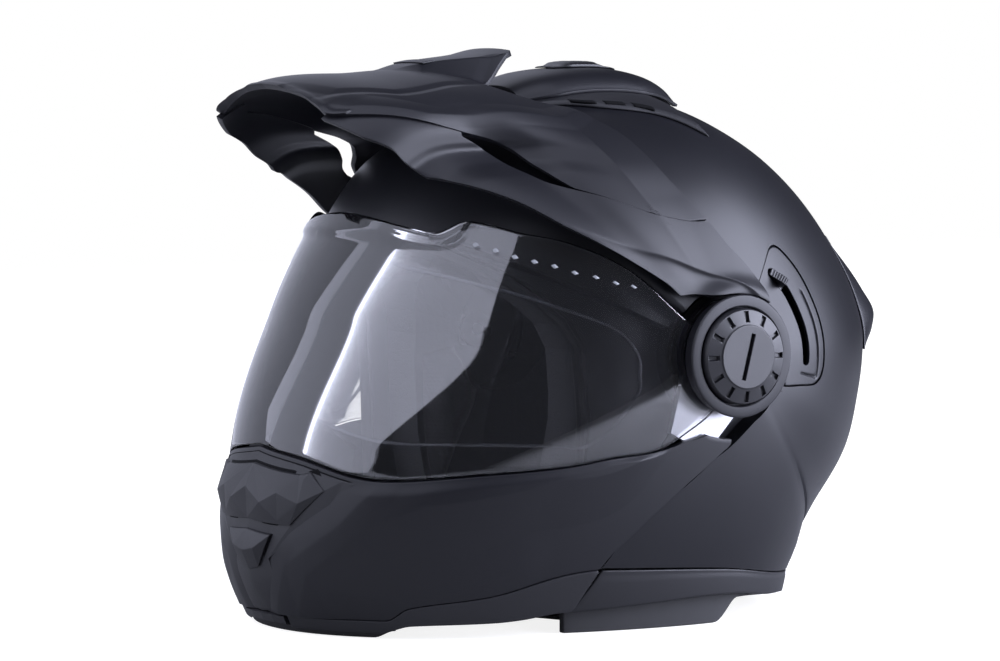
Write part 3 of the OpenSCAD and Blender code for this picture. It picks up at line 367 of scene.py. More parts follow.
def rounded(obj, share=1.0, segments=2, angle=40):
    """Rounds the sharp edges of a piece by a share of the full rounding"""
    mod = obj.modifiers.new("edge", "BEVEL")
    mod.width = share * sizes().edge
    mod.segments = segments
    mod.limit_method = "ANGLE"
    mod.angle_limit = math.radians(angle)
    mod.harden_normals = False
    return obj


def grid_faces(m, n, start=0, wrap=False):
    """Faces of a grid of m by n points, closed round its first way or open"""
    cols = m if wrap else m - 1
    return [(start + i * n + j, start + i * n + j + 1, start + (i + 1) % m * n + j + 1,
             start + (i + 1) % m * n + j) for i in range(cols) for j in range(n - 1)]


def closed_sheet(name, outer, inner):
    """Closed sheet between an outer and an inner grid of points"""
    m, n = outer.shape[:2]
    verts = np.concatenate([outer.reshape(-1, 3), inner.reshape(-1, 3)])
    faces = grid_faces(m, n) + grid_faces(m, n, m * n)
    rim = ([(i, 0) for i in range(m)] + [(m - 1, j) for j in range(1, n)]
           + [(i, n - 1) for i in range(m - 2, -1, -1)] + [(0, j) for j in range(n - 2, 0, -1)])
    ids = [i * n + j for i, j in rim]
    for a, b in zip(ids, ids[1:] + ids[:1]):
        faces.append((a, b, b + m * n, a + m * n))
    return mesh_object(name, verts, faces)


def band(name, skin, cols, low, high, rows, d0, d1, relief=None, lift=None):
    """Closed sheet on a skin between two edges"""
    f = np.repeat(cols[:, None], rows + 1, 1)
    t = np.linspace(0, 1, rows + 1)[None, :]
    a = low[:, None] * (1 - t) + high[:, None] * t
    outer, inner = skin.at(a, f, d0), skin.at(a, f, d1)
    if lift is not None:
        outer, inner = lift(outer), lift(inner)
    if relief is not None:
        outer = outer + normals(outer) * relief(outer, f, a)[..., None]
    return closed_sheet(name, outer, inner)


def tube_ring(name, path, radius, sides, tall):
    """Closed tube along a ring of points, with a share of its width as its height"""
    m = len(path)
    ways = np.roll(path, -1, 0) - np.roll(path, 1, 0)
    ways /= np.linalg.norm(ways, axis=1, keepdims=True)
    a = np.cross(ways, (0, 0, 1))
    a /= np.linalg.norm(a, axis=1, keepdims=True)
    b = np.cross(a, ways)
    g = np.linspace(0, 2 * np.pi, sides, endpoint=False)[None, :, None]
    ring = path[:, None] + radius * (np.cos(g) * a[:, None] + tall * np.sin(g) * b[:, None])
    faces = [(i * sides + k, i * sides + (k + 1) % sides, (i + 1) % m * sides + (k + 1) % sides,
              (i + 1) % m * sides + k) for i in range(m) for k in range(sides)]
    return mesh_object(name, ring.reshape(-1, 3), faces)


def smoothed(path, count):
    """Even points on a smooth curve through a few"""
    path = np.asarray(path, float)
    t = np.concatenate([[0], np.cumsum(np.linalg.norm(np.diff(path, axis=0), axis=1))])
    s = np.linspace(0, t[-1], count)
    slope = np.gradient(path, t, axis=0)
    i = np.clip(np.searchsorted(t, s, side="right") - 1, 0, len(t) - 2)
    h = (t[i + 1] - t[i])[:, None]
    u = ((s - t[i]) / h[:, 0])[:, None]
    return ((1 + 2 * u) * (1 - u) ** 2 * path[i] + u * (1 - u) ** 2 * h * slope[i]
            + u * u * (3 - 2 * u) * path[i + 1] + u * u * (u - 1) * h * slope[i + 1])


def skin_plate(name, skin, points, faces, back, levels, crease):
    """Plate on a skin from points (lateral angle, angle, height) and their flat facets"""
    bm = bmesh.new()
    vs = [bm.verts.new(p) for p in points]
    for face in faces:
        bm.faces.new([vs[i] for i in face])
    bmesh.ops.triangulate(bm, faces=bm.faces)
    for _ in range(levels):
        bmesh.ops.subdivide_edges(bm, edges=bm.edges, cuts=1, use_grid_fill=True)
    bm.verts.index_update()
    top = np.array([v.co for v in bm.verts])
    rim = [(e.verts[0].index, e.verts[1].index) for e in bm.edges if e.is_boundary]
    tris = [[v.index for v in f.verts] for f in bm.faces]
    bm.free()
    n = len(top)
    outer = skin.at(top[:, 1], top[:, 0], -top[:, 2])
    inner = skin.at(top[:, 1], top[:, 0], -back)
    polys = tris + [[i + n for i in reversed(t)] for t in tris]
    polys += [(a, b, b + n, a + n) for a, b in rim]
    return sharpen(mesh_object(name, np.concatenate([outer, inner]), polys), crease)


def join(name, parts):
    """One object of several"""
    verts, faces = [], []
    for part in parts:
        faces += [[len(verts) + i for i in p.vertices] for p in part.data.polygons]
        verts += [v.co.copy() for v in part.data.vertices]
        bpy.data.objects.remove(part)
    mesh = bpy.data.meshes.new(name)
    mesh.from_pydata(verts, [], faces)
    obj = bpy.data.objects.new(name, mesh)
    bpy.context.scene.collection.objects.link(obj)
    for p in mesh.polygons:
        p.use_smooth = True
    return obj


def mirror_copy(obj, name):
    """The same piece on the other side"""
    mesh = obj.data.copy()
    mesh.transform(Matrix.Scale(-1, 4, (1, 0, 0)))
    mesh.flip_normals()
    twin = bpy.data.objects.new(name, mesh)
    bpy.context.scene.collection.objects.link(twin)
    for mod in obj.modifiers:
        new = twin.modifiers.new(mod.name, mod.type)
        for key in ("width", "segments", "limit_method", "angle_limit"):
            setattr(new, key, getattr(mod, key))
    return twin


# Materials

class Sock:
    """An output socket that takes part in arithmetic"""

    def __init__(self, tree, socket):
        self.tree, self.socket = tree, socket

    def _math(self, operation, a, b):
        """Result of a new math node"""
        return self.tree.node("ShaderNodeMath", {"operation": operation}, {0: a, 1: b})

    def __add__(self, other):
        return self._math("ADD", self, other)

    def __radd__(self, other):
        return self._math("ADD", other, self)

    def __sub__(self, other):
        return self._math("SUBTRACT", self, other)

    def __rsub__(self, other):
        return self._math("SUBTRACT", other, self)

    def __mul__(self, other):
        return self._math("MULTIPLY", self, other)

    def __rmul__(self, other):
        return self._math("MULTIPLY", other, self)

    def __pow__(self, other):
        return self._math("POWER", self, other)


class Finish:
    """A material built from nodes"""

    def __init__(self, name, **constants):
        self.material = bpy.data.materials.new(name)
        self.material.use_nodes = True
        self.nodes = self.material.node_tree.nodes
        self.links = self.material.node_tree.links
        self.shader = self.nodes["Principled BSDF"]
        for key, value in constants.items():
            self.put(self.shader, key.replace("_", " "), value)

    def put(self, node, key, value):
        """Links an expression to a node's socket, or sets it to a value"""
        target = node.inputs[key]
        if isinstance(value, Sock):
            self.links.new(value.socket, target)
        elif hasattr(value, "__len__") and len(value) == 3 and target.type == "RGBA":
            target.default_value = (*value, 1)
        else:
            target.default_value = value

    def node(self, kind, settings=None, inputs=None, out=0):
        """One output of a new node, from its type, its settings and its sockets"""
        node = self.nodes.new(kind)
        for key, value in (settings or {}).items():
            setattr(node, key, value)
        for key, value in (inputs or {}).items():
            self.put(node, key, value)
        return Sock(self, node.outputs[out])

    def place(self):
        """Where a point lies on its piece"""
        return self.node("ShaderNodeTexCoord", out="Object")

    def noise(self, scale, detail):
        """Cloudy noise over the piece"""
        return self.node("ShaderNodeTexNoise", None,
                         {"Vector": self.place(), "Scale": scale, "Detail": detail})

    def ramp(self, value, lo, hi):
        """Soft step from 0 at one value to 1 at another"""
        return self.node("ShaderNodeMapRange", {"interpolation_type": "SMOOTHSTEP"},
                         {"Value": value, "From Min": lo, "From Max": hi})

    def mix(self, factor, a, b):
        """Colour between two"""
        return self.node("ShaderNodeMix", {"data_type": "RGBA"}, {0: factor, 6: a, 7: b}, out=2)

    def set(self, **sockets):
        """Fills sockets of the shader, named with underscores for spaces"""
        for key, value in sockets.items():
            self.put(self.shader, key.replace("_", " "), value)

    def bump(self, height, strength, distance):
        """Relief from a height, its depth given in mm"""
        self.set(Normal=self.node("ShaderNodeBump", None, {
            "Height": height, "Strength": strength, "Distance": distance * MM}))


def shade(colour, factor):
    """A colour made darker or lighter"""
    return tuple(c * factor for c in colour)


def matte_paint(name, colour, roughness, grain=0.5, speckle=1800):
    """Soft-touch paint: slow cloudy changes and a fine orange peel"""
    fin = Finish(name, Specular_IOR_Level=0.3)
    cloud = fin.noise(14, 3)
    peel = fin.noise(speckle, 2)
    fin.set(Base_Color=fin.mix(cloud, shade(colour, 0.9), shade(colour, 1.1)),
            Roughness=roughness + 0.1 * (cloud - 0.5) + 0.05 * (peel - 0.5))
    fin.bump(peel, 0.25 * grain, 0.05)
    return fin.material


def moulded(name, colour, roughness, grain=1.0, level=0.4):
    """Moulded plastic with a spark-eroded grain"""
    fin = Finish(name, Specular_IOR_Level=level)
    cells = fin.node("ShaderNodeTexVoronoi", {"feature": "SMOOTH_F1"},
                     {"Vector": fin.place(), "Scale": 1500})
    cloud = fin.noise(25, 3)
    fin.set(Base_Color=fin.mix(cells, shade(colour, 0.85), shade(colour, 1.15)),
            Roughness=roughness + 0.12 * (cloud - 0.5) + 0.08 * (cells - 0.5))
    fin.bump(cells, 0.35 * grain, 0.06)
    return fin.material


def knit(name, colour):
    """Brushed knit: two crossing rows of stitches and a soft pile"""
    fin = Finish(name, Sheen_Weight=0.3, Sheen_Roughness=0.5)
    where = fin.place()
    rows = [fin.node("ShaderNodeTexWave", {"wave_type": "BANDS", "bands_direction": axis},
                     {"Vector": where, "Scale": 160, "Distortion": 1.5, "Detail": 1}, out="Fac")
            for axis in ("DIAGONAL", "Z")]
    pile = fin.noise(900, 3)
    height = rows[0] * rows[1] + 0.5 * pile
    fin.set(Base_Color=fin.mix(height, shade(colour, 0.6), shade(colour, 1.5)), Roughness=0.95)
    fin.bump(height, 0.5, 0.3)
    return fin.material


def beads(name, colour):
    """Expanded foam: closed beads pressed together"""
    fin = Finish(name)
    cells = fin.node("ShaderNodeTexVoronoi", {"feature": "DISTANCE_TO_EDGE"},
                     {"Vector": fin.place(), "Scale": 320})
    seam = fin.ramp(cells, 0.0, 0.12)
    fin.set(Base_Color=fin.mix(seam, shade(colour, 0.5), colour), Roughness=0.85)
    fin.bump(seam, 0.4, 0.2)
    return fin.material


def webbing(name, colour):
    """Woven strap: a fine twill across and ribs along"""
    fin = Finish(name, Sheen_Weight=0.2)
    rows = [fin.node("ShaderNodeTexWave", {"wave_type": "BANDS", "bands_direction": axis},
                     {"Vector": fin.place(), "Scale": scale, "Distortion": 0.4}, out="Fac")
            for axis, scale in (("DIAGONAL", 320), ("Y", 260))]
    weave = rows[0] * rows[1]
    fin.set(Base_Color=fin.mix(weave, shade(colour, 0.6), shade(colour, 1.8)), Roughness=0.8)
    fin.bump(weave, 0.6, 0.2)
    return fin.material


def rubber(name, colour):
    """Dull rubber with a little dust"""
    fin = Finish(name)
    dust = fin.noise(60, 4)
    fin.set(Base_Color=fin.mix(dust, shade(colour, 0.8), shade(colour, 1.3)),
            Roughness=0.6 + 0.25 * dust)
    fin.bump(fin.noise(1200, 2), 0.2, 0.05)
    return fin.material


def metal(name, colour, roughness):
    """Metal with a fine uneven polish"""
    fin = Finish(name, Metallic=1.0)
    lines = fin.noise(300, 4)
    fin.set(Base_Color=colour, Roughness=roughness + 0.15 * (lines - 0.5))
    fin.bump(lines, 0.1, 0.02)
    return fin.material


def clear(name, tint, alpha, gloss):
    """Clear hard-coated sheet: see-through, with a mirror that grows at glancing angles"""
    fin = Finish(name, Alpha=alpha, Roughness=0.06)
    haze = fin.noise(7, 3)
    fin.set(Base_Color=fin.mix(haze, shade(tint, 0.96), tint))
    mirror = fin.node("ShaderNodeBsdfPrincipled", None,
                      {"Base Color": (1, 1, 1), "Metallic": 1.0, "Roughness": 0.03})
    edge = fin.node("ShaderNodeFresnel", None, {"IOR": 1.5})
    body = Sock(fin, fin.shader.outputs[0])
    mixed = fin.node("ShaderNodeMixShader", None,
                     {0: edge * gloss + 0.01 * haze, 1: body, 2: mirror})
    fin.put(fin.nodes["Material Output"], "Surface", mixed)
    return fin.material


FINISHES = {}


def wear(obj, finish):
    """Gives a piece one finish all over"""
    obj.data.materials.clear()
    obj.data.materials.append(FINISHES[finish])
    for poly in obj.data.polygons:
        poly.material_index = 0
    return obj


def fit(obj, body, slot, finish, *nodes):
    """Puts a piece on its body, in its finish, in place of CAD nodes"""
    wear(obj, finish)
    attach(obj, body)
    if nodes:
        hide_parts(*nodes)
    return obj


def dress(node, finish, bevel=0.0):
    """Gives a CAD node its finish, and rounds its edges"""
    obj = frame["nodes"][node]
    wear(obj, finish)
    for poly in obj.data.polygons:
        poly.use_smooth = bevel > 0
    if bevel:
        rounded(obj, bevel, 2, 30)
    return obj


# Settings

class HelmetColours(bpy.types.PropertyGroup):
    """Colours of the helmet's materials"""
    paint: bpy.props.FloatVectorProperty(
        name="Paint", description="Colour of the painted shell and chin bar", subtype="COLOR",
        default=(0.004, 0.0041, 0.006), min=0, max=1)
    peak: bpy.props.FloatVectorProperty(
        name="Peak", description="Colour of the peak", subtype="COLOR",
        default=(0.0045, 0.0046, 0.0066), min=0, max=1)
    trim: bpy.props.FloatVectorProperty(
        name="Trim", description="Colour of the moulded trim", subtype="COLOR",
        default=(0.005, 0.005, 0.0068), min=0, max=1)
    lining: bpy.props.FloatVectorProperty(
        name="Lining", description="Colour of the comfort lining", subtype="COLOR",
        default=(0.007, 0.007, 0.008), min=0, max=1)
    rubber: bpy.props.FloatVectorProperty(
        name="Rubber", description="Colour of the beads and seals", subtype="COLOR",
        default=(0.012, 0.012, 0.013), min=0, max=1)
    foam: bpy.props.FloatVectorProperty(
        name="Foam", description="Colour of the foam liners", subtype="COLOR",
        default=(0.02, 0.02, 0.022), min=0, max=1)
    webbing: bpy.props.FloatVectorProperty(
        name="Webbing", description="Colour of the chin strap", subtype="COLOR",
        default=(0.012, 0.012, 0.013), min=0, max=1)
    steel: bpy.props.FloatVectorProperty(
        name="Steel", description="Colour of the chin bar's arms and the pins", subtype="COLOR",
        default=(0.25, 0.25, 0.26), min=0, max=1)
    chrome: bpy.props.FloatVectorProperty(
        name="Chrome", description="Colour of the buckle and the rivets", subtype="COLOR",
        default=(0.6, 0.6, 0.6), min=0, max=1)
    visor: bpy.props.FloatVectorProperty(
        name="Visor", description="Tint of the visor and its fog insert", subtype="COLOR",
        default=(0.05, 0.052, 0.06), min=0, max=1)
    # Grey of the insert's silicone bead, made lighter than its own tint as a painted highlight of
    # its shiny line
    bead: bpy.props.FloatVectorProperty(
        name="Insert bead", description="Tint of the bead round the fog insert", subtype="COLOR",
        default=(0.12, 0.125, 0.15), min=0, max=1)
    smoke: bpy.props.FloatVectorProperty(
        name="Sun visor", description="Tint of the sun visor", subtype="COLOR",
        default=(0.02, 0.02, 0.022), min=0, max=1)
    # Light grey of the raised visor marks: a painted highlight for their glint
    print: bpy.props.FloatVectorProperty(
        name="Mark_glint", description="Colour of the marks glinting on the visor", subtype="COLOR",
        default=(0.3, 0.31, 0.33), min=0, max=1)


class HelmetSizes(bpy.types.PropertyGroup):
    """Walls, seams and the straps' section"""
    shell_wall: bpy.props.FloatProperty(
        name="Shell wall", description="Wall of the outer shell", default=0.004, min=0.002,
        max=0.005, unit="LENGTH")
    chin_wall: bpy.props.FloatProperty(
        name="Chin bar wall", description="Wall of the chin bar", default=0.003, min=0.002,
        max=0.004, unit="LENGTH")
    visor_wall: bpy.props.FloatProperty(
        name="Visor wall", description="Wall of the clear visor", default=0.0022, min=0.0015,
        max=0.0025, unit="LENGTH")
    strap_width: bpy.props.FloatProperty(
        name="Strap width", description="Width of the chin strap", default=0.024, min=0.018,
        max=0.028, unit="LENGTH")
    strap_wall: bpy.props.FloatProperty(
        name="Strap thickness", description="Thickness of the chin strap", default=0.0016,
        min=0.001, max=0.002, unit="LENGTH")
    seam: bpy.props.FloatProperty(
        name="Seam", description="Gap between neighbouring panels", default=0.0008, min=0.0002,
        max=0.002, unit="LENGTH")
    edge: bpy.props.FloatProperty(
        name="Edge", description="Full rounding of an edge", default=0.001, min=0.0001,
        max=0.002, unit="LENGTH")


class HelmetStudio(bpy.types.PropertyGroup):
    """Light of the studio"""
    fill: bpy.props.FloatProperty(
        name="Fill", description="Strength of the light that comes from all round", default=0.16,
        min=0, max=2)
    key: bpy.props.FloatProperty(
        name="Key", description="Power of the main soft box, in watts", default=30, min=0, max=200)


def sizes():
    """The sizes that the panel shows"""
    return bpy.context.scene.helmet_sizes


class HELMET_OT_finishes(bpy.types.Operator):
    """Makes the materials"""
    bl_idname = "helmet.finishes"
    bl_label = "Finishes"

    def execute(self, context):
        group = context.scene.helmet_colours
        tone = {key: tuple(getattr(group, key)) for key in group.__annotations__}
        FINISHES["paint"] = matte_paint("matte_paint", tone["paint"], 0.42)
        FINISHES["peak"] = matte_paint("matte_peak", tone["peak"], 0.45, 0.8)
        FINISHES["trim"] = moulded("grained_trim", tone["trim"], 0.5)
        # Darker moulded plastic of the visor hubs and pivot plates. On the plates in the front
        # vent's joint, grooves and mouth, and in the crown vent's intake and slots, it is painted
        # shade
        FINISHES["dark"] = moulded("dark_trim", shade(tone["trim"], 0.3), 0.75, level=0.1)
        FINISHES["dial"] = moulded("dial_plastic", tone["trim"], 0.42, 0.6)
        FINISHES["rubber"] = rubber("black_rubber", tone["rubber"])
        FINISHES["foam"] = beads("black_foam", tone["foam"])
        FINISHES["knit"] = knit("brushed_knit", tone["lining"])
        FINISHES["steel"] = metal("dark_steel", tone["steel"], 0.35)
        FINISHES["visor"] = clear("clear_visor", tone["visor"], 0.1, 1.0)
        FINISHES["insert"] = clear("fog_insert", tone["visor"], 0.06, 0.25)
        # Grey silicone bead, partly lightened as a painted highlight
        FINISHES["bead"] = clear("clear_bead", tone["bead"], 0.75, 1.0)
        # Raised visor marks in light grey: a painted highlight of their glint
        FINISHES["print"] = matte_paint("printed_marks", tone["print"], 0.5, 0.1)
        FINISHES["smoke"] = clear("smoke_visor", tone["smoke"], 0.8, 0.7)
        FINISHES["webbing"] = webbing("woven_webbing", tone["webbing"])
        FINISHES["chrome"] = metal("bright_steel", tone["chrome"], 0.2)
        return {"FINISHED"}


class HELMET_OT_shell(bpy.types.Operator):
    """Outer shell with its hinge and lever pockets"""
    bl_idname = "helmet.shell"
    bl_label = "Shell"

    def reach(self, a, d):
        """Radius at which each ray of the shell ends"""
        r = curve(SHELL_LINE, a) - d
        low = np.minimum(curve(SEAM_LINE, a) / np.maximum(0.05, np.abs(np.sin(np.radians(a)))),
                         r * 0.995)
        return np.where(a < EYE_END, curve(EYE_EDGE, a), np.where(a < LOWER_START, r, low))

    def side(self, rays, count, d):
        """Left half of the shell, set in by d mm: rays from the hinge to the edge or the middle"""
        a = rays[:, None]
        lever = (a > LEVER_START) & (a < LEVER_END)
        start = np.where(lever, curve(LEVER_RIM, a),
                         np.where(a > CHIN_START, curve(CHIN_SEAM, a), POCKET_R))
        t = np.linspace(0, 1, count)[None, :]
        r = curve(SHELL_LINE, a) - d
        first = start + 0.4
        phi = np.degrees(np.arccos(np.clip(first / r, 0, 1) ** (SHELL.power / 2)))
        arc = r * np.abs(np.cos(np.radians(phi * (1 - t)))) ** (2 / SHELL.power)
        straight = first * (1 - t) + self.reach(a, d) * t
        out = np.where((a < EYE_END) | (a > LOWER_START), straight, arc)
        x = shell_x(a, out, d)
        x = np.where(a < EYE_END, np.minimum(POCKET_FLOOR - d, x - 6), x)
        well = np.concatenate([np.full_like(start, 9.0), np.full_like(start, 30.0),
                               np.full_like(start, 31.0), start * 0.5 + 15.5, start], 1)
        outside = shell_x(a, well, d)
        pocket = np.minimum(POCKET_FLOOR - d, outside - 6)
        inner = np.where(a < EYE_END, pocket, np.where(
            lever, LEVER_FLOOR - (well - 33) * LEVER_SLOPE - d,
            np.where(a > CHIN_START, pocket, outside)))
        inner[:, :2] = POCKET_FLOOR - d
        return placed(np.concatenate([inner, x], 1), a, np.concatenate([well, out], 1))

    def execute(self, context):
        rays = np.concatenate([
            np.linspace(-57, 12, 30), np.linspace(13.5, 22.5, 8), [23.5, 24.2, 25, 26.5, 28],
            np.linspace(30, 121, 60), [122.4, 122.8, 123.3, 123.9, 124.7, 126, 128, 130],
            np.linspace(133, 186, 34), np.linspace(188, 206.2, 22), [206.8],
            np.linspace(208, 228, 15), [229.5, 232, 234], np.linspace(236, 302, 36)])
        first, last = list(rays).index(25), list(rays).index(228)
        count = 56
        verts, faces = [], []
        for d in (0.0, sizes().shell_wall / MM):
            half = self.side(rays, count, d)
            half[first:last + 1, -1, 0] = 0
            m, n = half.shape[:2]
            for mirror in (1, -1):
                start = len(verts) * m * n
                verts.append((half * (mirror, 1, 1)).reshape(-1, 3))
                faces += grid_faces(m, n, start, wrap=True)
        block = m * n
        for side in (0, 1):
            for i in range(m):
                k = (i + 1) % m
                a, b = side * block + i * n, side * block + k * n
                faces.append((a, b, b + 2 * block, a + 2 * block))
                if not first <= i < last:
                    a, b = a + n - 1, b + n - 1
                    faces.append((a, b, b + 2 * block, a + 2 * block))
        obj = mesh_object("shell_skin", np.concatenate(verts), faces)
        sharpen(obj, 35)
        rounded(obj, 0.8)
        fit(obj, "shell", "shell", "paint", "outer_shell")
        return {"FINISHED"}


class HELMET_OT_chin_bar(bpy.types.Operator):
    """Chin bar with its trim, bead and release button"""
    bl_idname = "helmet.chin_bar"
    bl_label = "Chin bar"

    def execute(self, context):
        cols = mirrored(step_cols((0, 46, 110), (46, 70, 40), (70, 81, 24)))
        low = np.maximum(curve(CHIN_REAR, np.abs(cols)),
                         FACE.dip(np.abs(cols), curve(CHIN_TRIM_LINE, np.abs(cols))))
        high = curve(VISOR_LOW, np.abs(cols)) - sizes().seam / 2 / MM

        def folds(points, f, a):
            f = np.abs(f)
            rise = sum(tall * np.clip(1 - line_gap(f, a, line) / wide, 0, 1)
                       for line, tall, wide in ((FRAME_FOLD, 1.9, 9), (INNER_FOLD, 0.7, 4),
                                                (LOWER_FOLD, 0.7, 5)))
            return rise * smooth_step(0, 2.5, curve(VISOR_LOW, f) - a)
        wall = sizes().chin_wall / MM
        bar = band("chin_bar_skin", FACE, cols, low, high, 90, 0, wall, relief=folds)
        rounded(bar, 0.7)
        fit(bar, "chin_bar", "shell", "paint", "chin_bar")
        half = step_cols((8, 47, 60), (47, 60, 16))
        low = np.maximum(curve(CHIN_REAR, half), FACE.dip(half, curve(CHIN_FOOT, half)))
        high = FACE.dip(half, curve(CHIN_TRIM_LINE, half) + 0.4)
        trim = band("chin_trim_left", FACE, half, low, high, 8, -0.6, 4)
        rounded(trim, 0.6)
        twin = mirror_copy(trim, "chin_trim_right")
        fit(trim, "chin_bar", "trim", "trim", "chin_trim")
        fit(twin, "chin_bar", "trim", "trim", "chin_trim")
        cols = mirrored(step_cols((0, 29.5, 50)))
        f = np.abs(cols)
        foot = 127.9 - 3.4 * smooth_step(25, 29.5, f)
        head = 125.6 - 1.4 * smooth_step(20, 24, f)
        bead = band("chin_bead_skin", FACE, cols, FACE.dip(f, foot, 1.5), FACE.dip(f, head), 4,
                    1.5, 4)
        rounded(bead, 1)
        fit(bead, "chin_bar", "rubber", "rubber", "chin_bead")
        dress("release_button", "dial", 0.5)
        dress("chin_liner", "foam", 1.0)
        for side in ("left", "right"):
            dress("chin_arm_" + side, "steel", 0.3)
        return {"FINISHED"}


class HELMET_OT_front_vent(bpy.types.Operator):
    """Panel in the chin bar with its two shutters"""
    bl_idname = "helmet.front_vent"
    bl_label = "Front vent"

    def execute(self, context):
        across = np.linspace(0, 27.4, 12)
        top = [(f, float(curve(VISOR_LOW, f)) - 1) for f in across]
        edge = [top_point(FACE, f, a) for f, a in top]
        panel = self.insert("vent_panel_skin", edge + PANEL_RIM, PANEL_PEAKS, 0.45)
        fit(panel, "chin_bar", "trim", "trim", "vent_panel")
        # Dark plate a little wider than the panel, set under it: painted shade in the joint round
        # the panel
        grown = [(x + 0.7, z - 0.9, 0) for x, z, _ in PANEL_RIM[:-2]] + [
            (8.6, -119, 0), (0, -120, 0)]
        joint_shade = self.insert("panel_joint", [(x * 1.012, z + 0.5, 0) for x, z, _ in edge]
                            + grown, [], 0.12)
        fit(joint_shade, "chin_bar", "trim", "dark")
        upper = self.insert("upper_insert", UPPER_RIM, UPPER_PEAKS, 2.0)
        fit(upper, "upper_shutter", "trim", "trim", "upper_shutter")
        lower = self.insert("lower_insert", LOWER_RIM, LOWER_PEAKS, 2.0)
        fit(lower, "lower_shutter", "trim", "trim", "lower_shutter")
        # Dark plates under the shutters and in the vent's mouth: painted shade in the grooves round
        # the shutters and in the mouth's opening
        for name, rim in (("upper_groove", UPPER_RIM), ("lower_groove", LOWER_RIM),
                          ("vent_mouth", MOUTH_RIM)):
            middle = np.mean([p[1] for p in rim])
            above = 0 if name == "lower_groove" else 1.3
            grown = [(x * 1.06, z + (above if z > middle else -1.3), 0) for x, z, _ in rim]
            plate = self.insert(name, grown, [], 0.3 if name == "vent_mouth" else 0.62)
            fit(plate, "chin_bar", "trim", "dark")
        return {"FINISHED"}

    def insert(self, name, rim, peaks, base):
        """Facetted insert, the same on both sides, from points (x, z, height) of its left half"""
        spots = list(rim) + list(peaks)
        flat = [Vector((x, z)) for x, z, _ in spots]
        made, _, tris, _, _, _ = delaunay_2d_cdt(flat, [], [list(range(len(rim)))], 1, 1e-5)
        if len(made) != len(spots):
            raise ValueError("outline of %s crosses itself" % name)
        points = []
        for x, z, h in spots:
            f = spot_of(FACE, x, 1, 1)[0]
            points.append((f, float(FACE.dip(np.array([f]), -z)[0]), h + base))
        twin = {}
        for i, (x, _, _) in enumerate(spots):
            if x > 1e-6:
                twin[i] = len(points)
                points.append((-points[i][0], *points[i][1:]))
            else:
                twin[i] = i
        faces = [tuple(t) for t in tris] + [tuple(twin[i] for i in reversed(t)) for t in tris]
        return rounded(skin_plate(name, FACE, points, faces, -0.5, 3, 7), 0.25, 2, 12)


def top_point(skin, f, a):
    """Point (x, z, 0) of a skin at a lateral angle and an angle"""
    x, _, z = skin.at(a, f)
    return float(x), float(z), 0


class HELMET_OT_visor(bpy.types.Operator):
    """Clear visor, its fog insert and its hubs"""
    bl_idname = "helmet.visor"
    bl_label = "Visor"

    def execute(self, context):
        cols = mirrored(step_cols((0, 60, 90), (60, 81, 50)))
        low, high = curve(VISOR_LOW, np.abs(cols)), curve(VISOR_HIGH, np.abs(cols))
        t = np.linspace(0, 1, 61)[None, :]
        a = low[:, None] * (1 - t) + high[:, None] * t
        part = np.clip((np.abs(cols) - 74) / 7, 0, 1)[:, None]
        f = np.abs(cols)[:, None] * (1 - part) + part * (
            74 + (hub_end(FACE, a, HUB_R) - 74) * part) + 0 * a
        f = np.sign(cols)[:, None] * f
        tab = 1.6 * smooth_step(0, 1.2, a - curve(FOLD, np.abs(f))) * (
            1 - smooth_step(30, 34, np.abs(f)))
        outer = FACE.at(a, f, 0)
        outer = outer + normals(outer) * tab[..., None]
        visor = closed_sheet("visor_skin", outer, FACE.at(a, f, sizes().visor_wall / MM))
        rounded(visor, 0.6, 3)
        fit(visor, "visor", "visor_clear", "visor", "visor")
        loop = [spot_of(FACE, *p) for p in INSERT_TOP]
        last = loop[-1][0]
        loop += [(f, float(curve(VISOR_LOW, f)) + 5) for f in np.linspace(last - 2, 0, 14)]
        loop = np.array(loop)
        ring = np.concatenate([loop, (loop * (-1, 1))[-2:0:-1]])
        ring = smoothed(np.concatenate([ring, ring[:1]]), 300)[:-1]
        path = FACE.at(ring[:, 1], ring[:, 0], 3.4)
        bead = tube_ring("insert_bead", path, 1.05, 12, 0.8)
        fit(bead, "visor", "visor_clear", "bead")
        cols = mirrored(step_cols((0, 50, 60)))
        low = curve(VISOR_LOW, np.abs(cols)) + 4
        high = np.minimum(20 - 6 * (np.abs(cols) / 50) ** 4, curve(VISOR_HIGH, np.abs(cols)) - 3)
        insert = band("fog_insert", FACE, cols, low, high, 24, 3.1, 4.0)
        fit(insert, "visor", "visor_clear", "insert", "visor_insert")
        # Light grey raised marks on both sides: painted highlight of their glint
        marks = [self.mark(side, k) for side in (1, -1) for k in range(len(MARKS))]
        fit(join("visor_marks", marks), "visor", "visor_clear", "print")
        for side in ("left", "right"):
            dress("visor_hub_" + side, "dark", 0.3)
        return {"FINISHED"}

    def mark(self, side, k):
        """Raised arrowhead pointing along the row of marks, its light grey a painted highlight"""
        size = 1.15
        f, a = MARKS[k]
        (f0, a0), (f1, a1) = MARKS[max(k - 1, 0)], MARKS[min(k + 1, len(MARKS) - 1)]
        way = math.atan2(a1 - a0, f1 - f0)
        pts = [(side * (f + size * math.cos(way + turn) * far),
                a + size * math.sin(way + turn) * far)
               for turn, far in ((math.pi, 1.1), (2.3, 0.75), (0, 0.2), (-2.3, 0.75))]
        front, back = [FACE.at([q[1] for q in pts], [q[0] for q in pts], d)
                       for d in (-0.35, -0.05)]
        faces = [(0, 1, 2, 3), (7, 6, 5, 4), (0, 1, 5, 4), (1, 2, 6, 5), (2, 3, 7, 6), (3, 0, 4, 7)]
        return mesh_object("mark", np.concatenate([front, back]), faces, False)


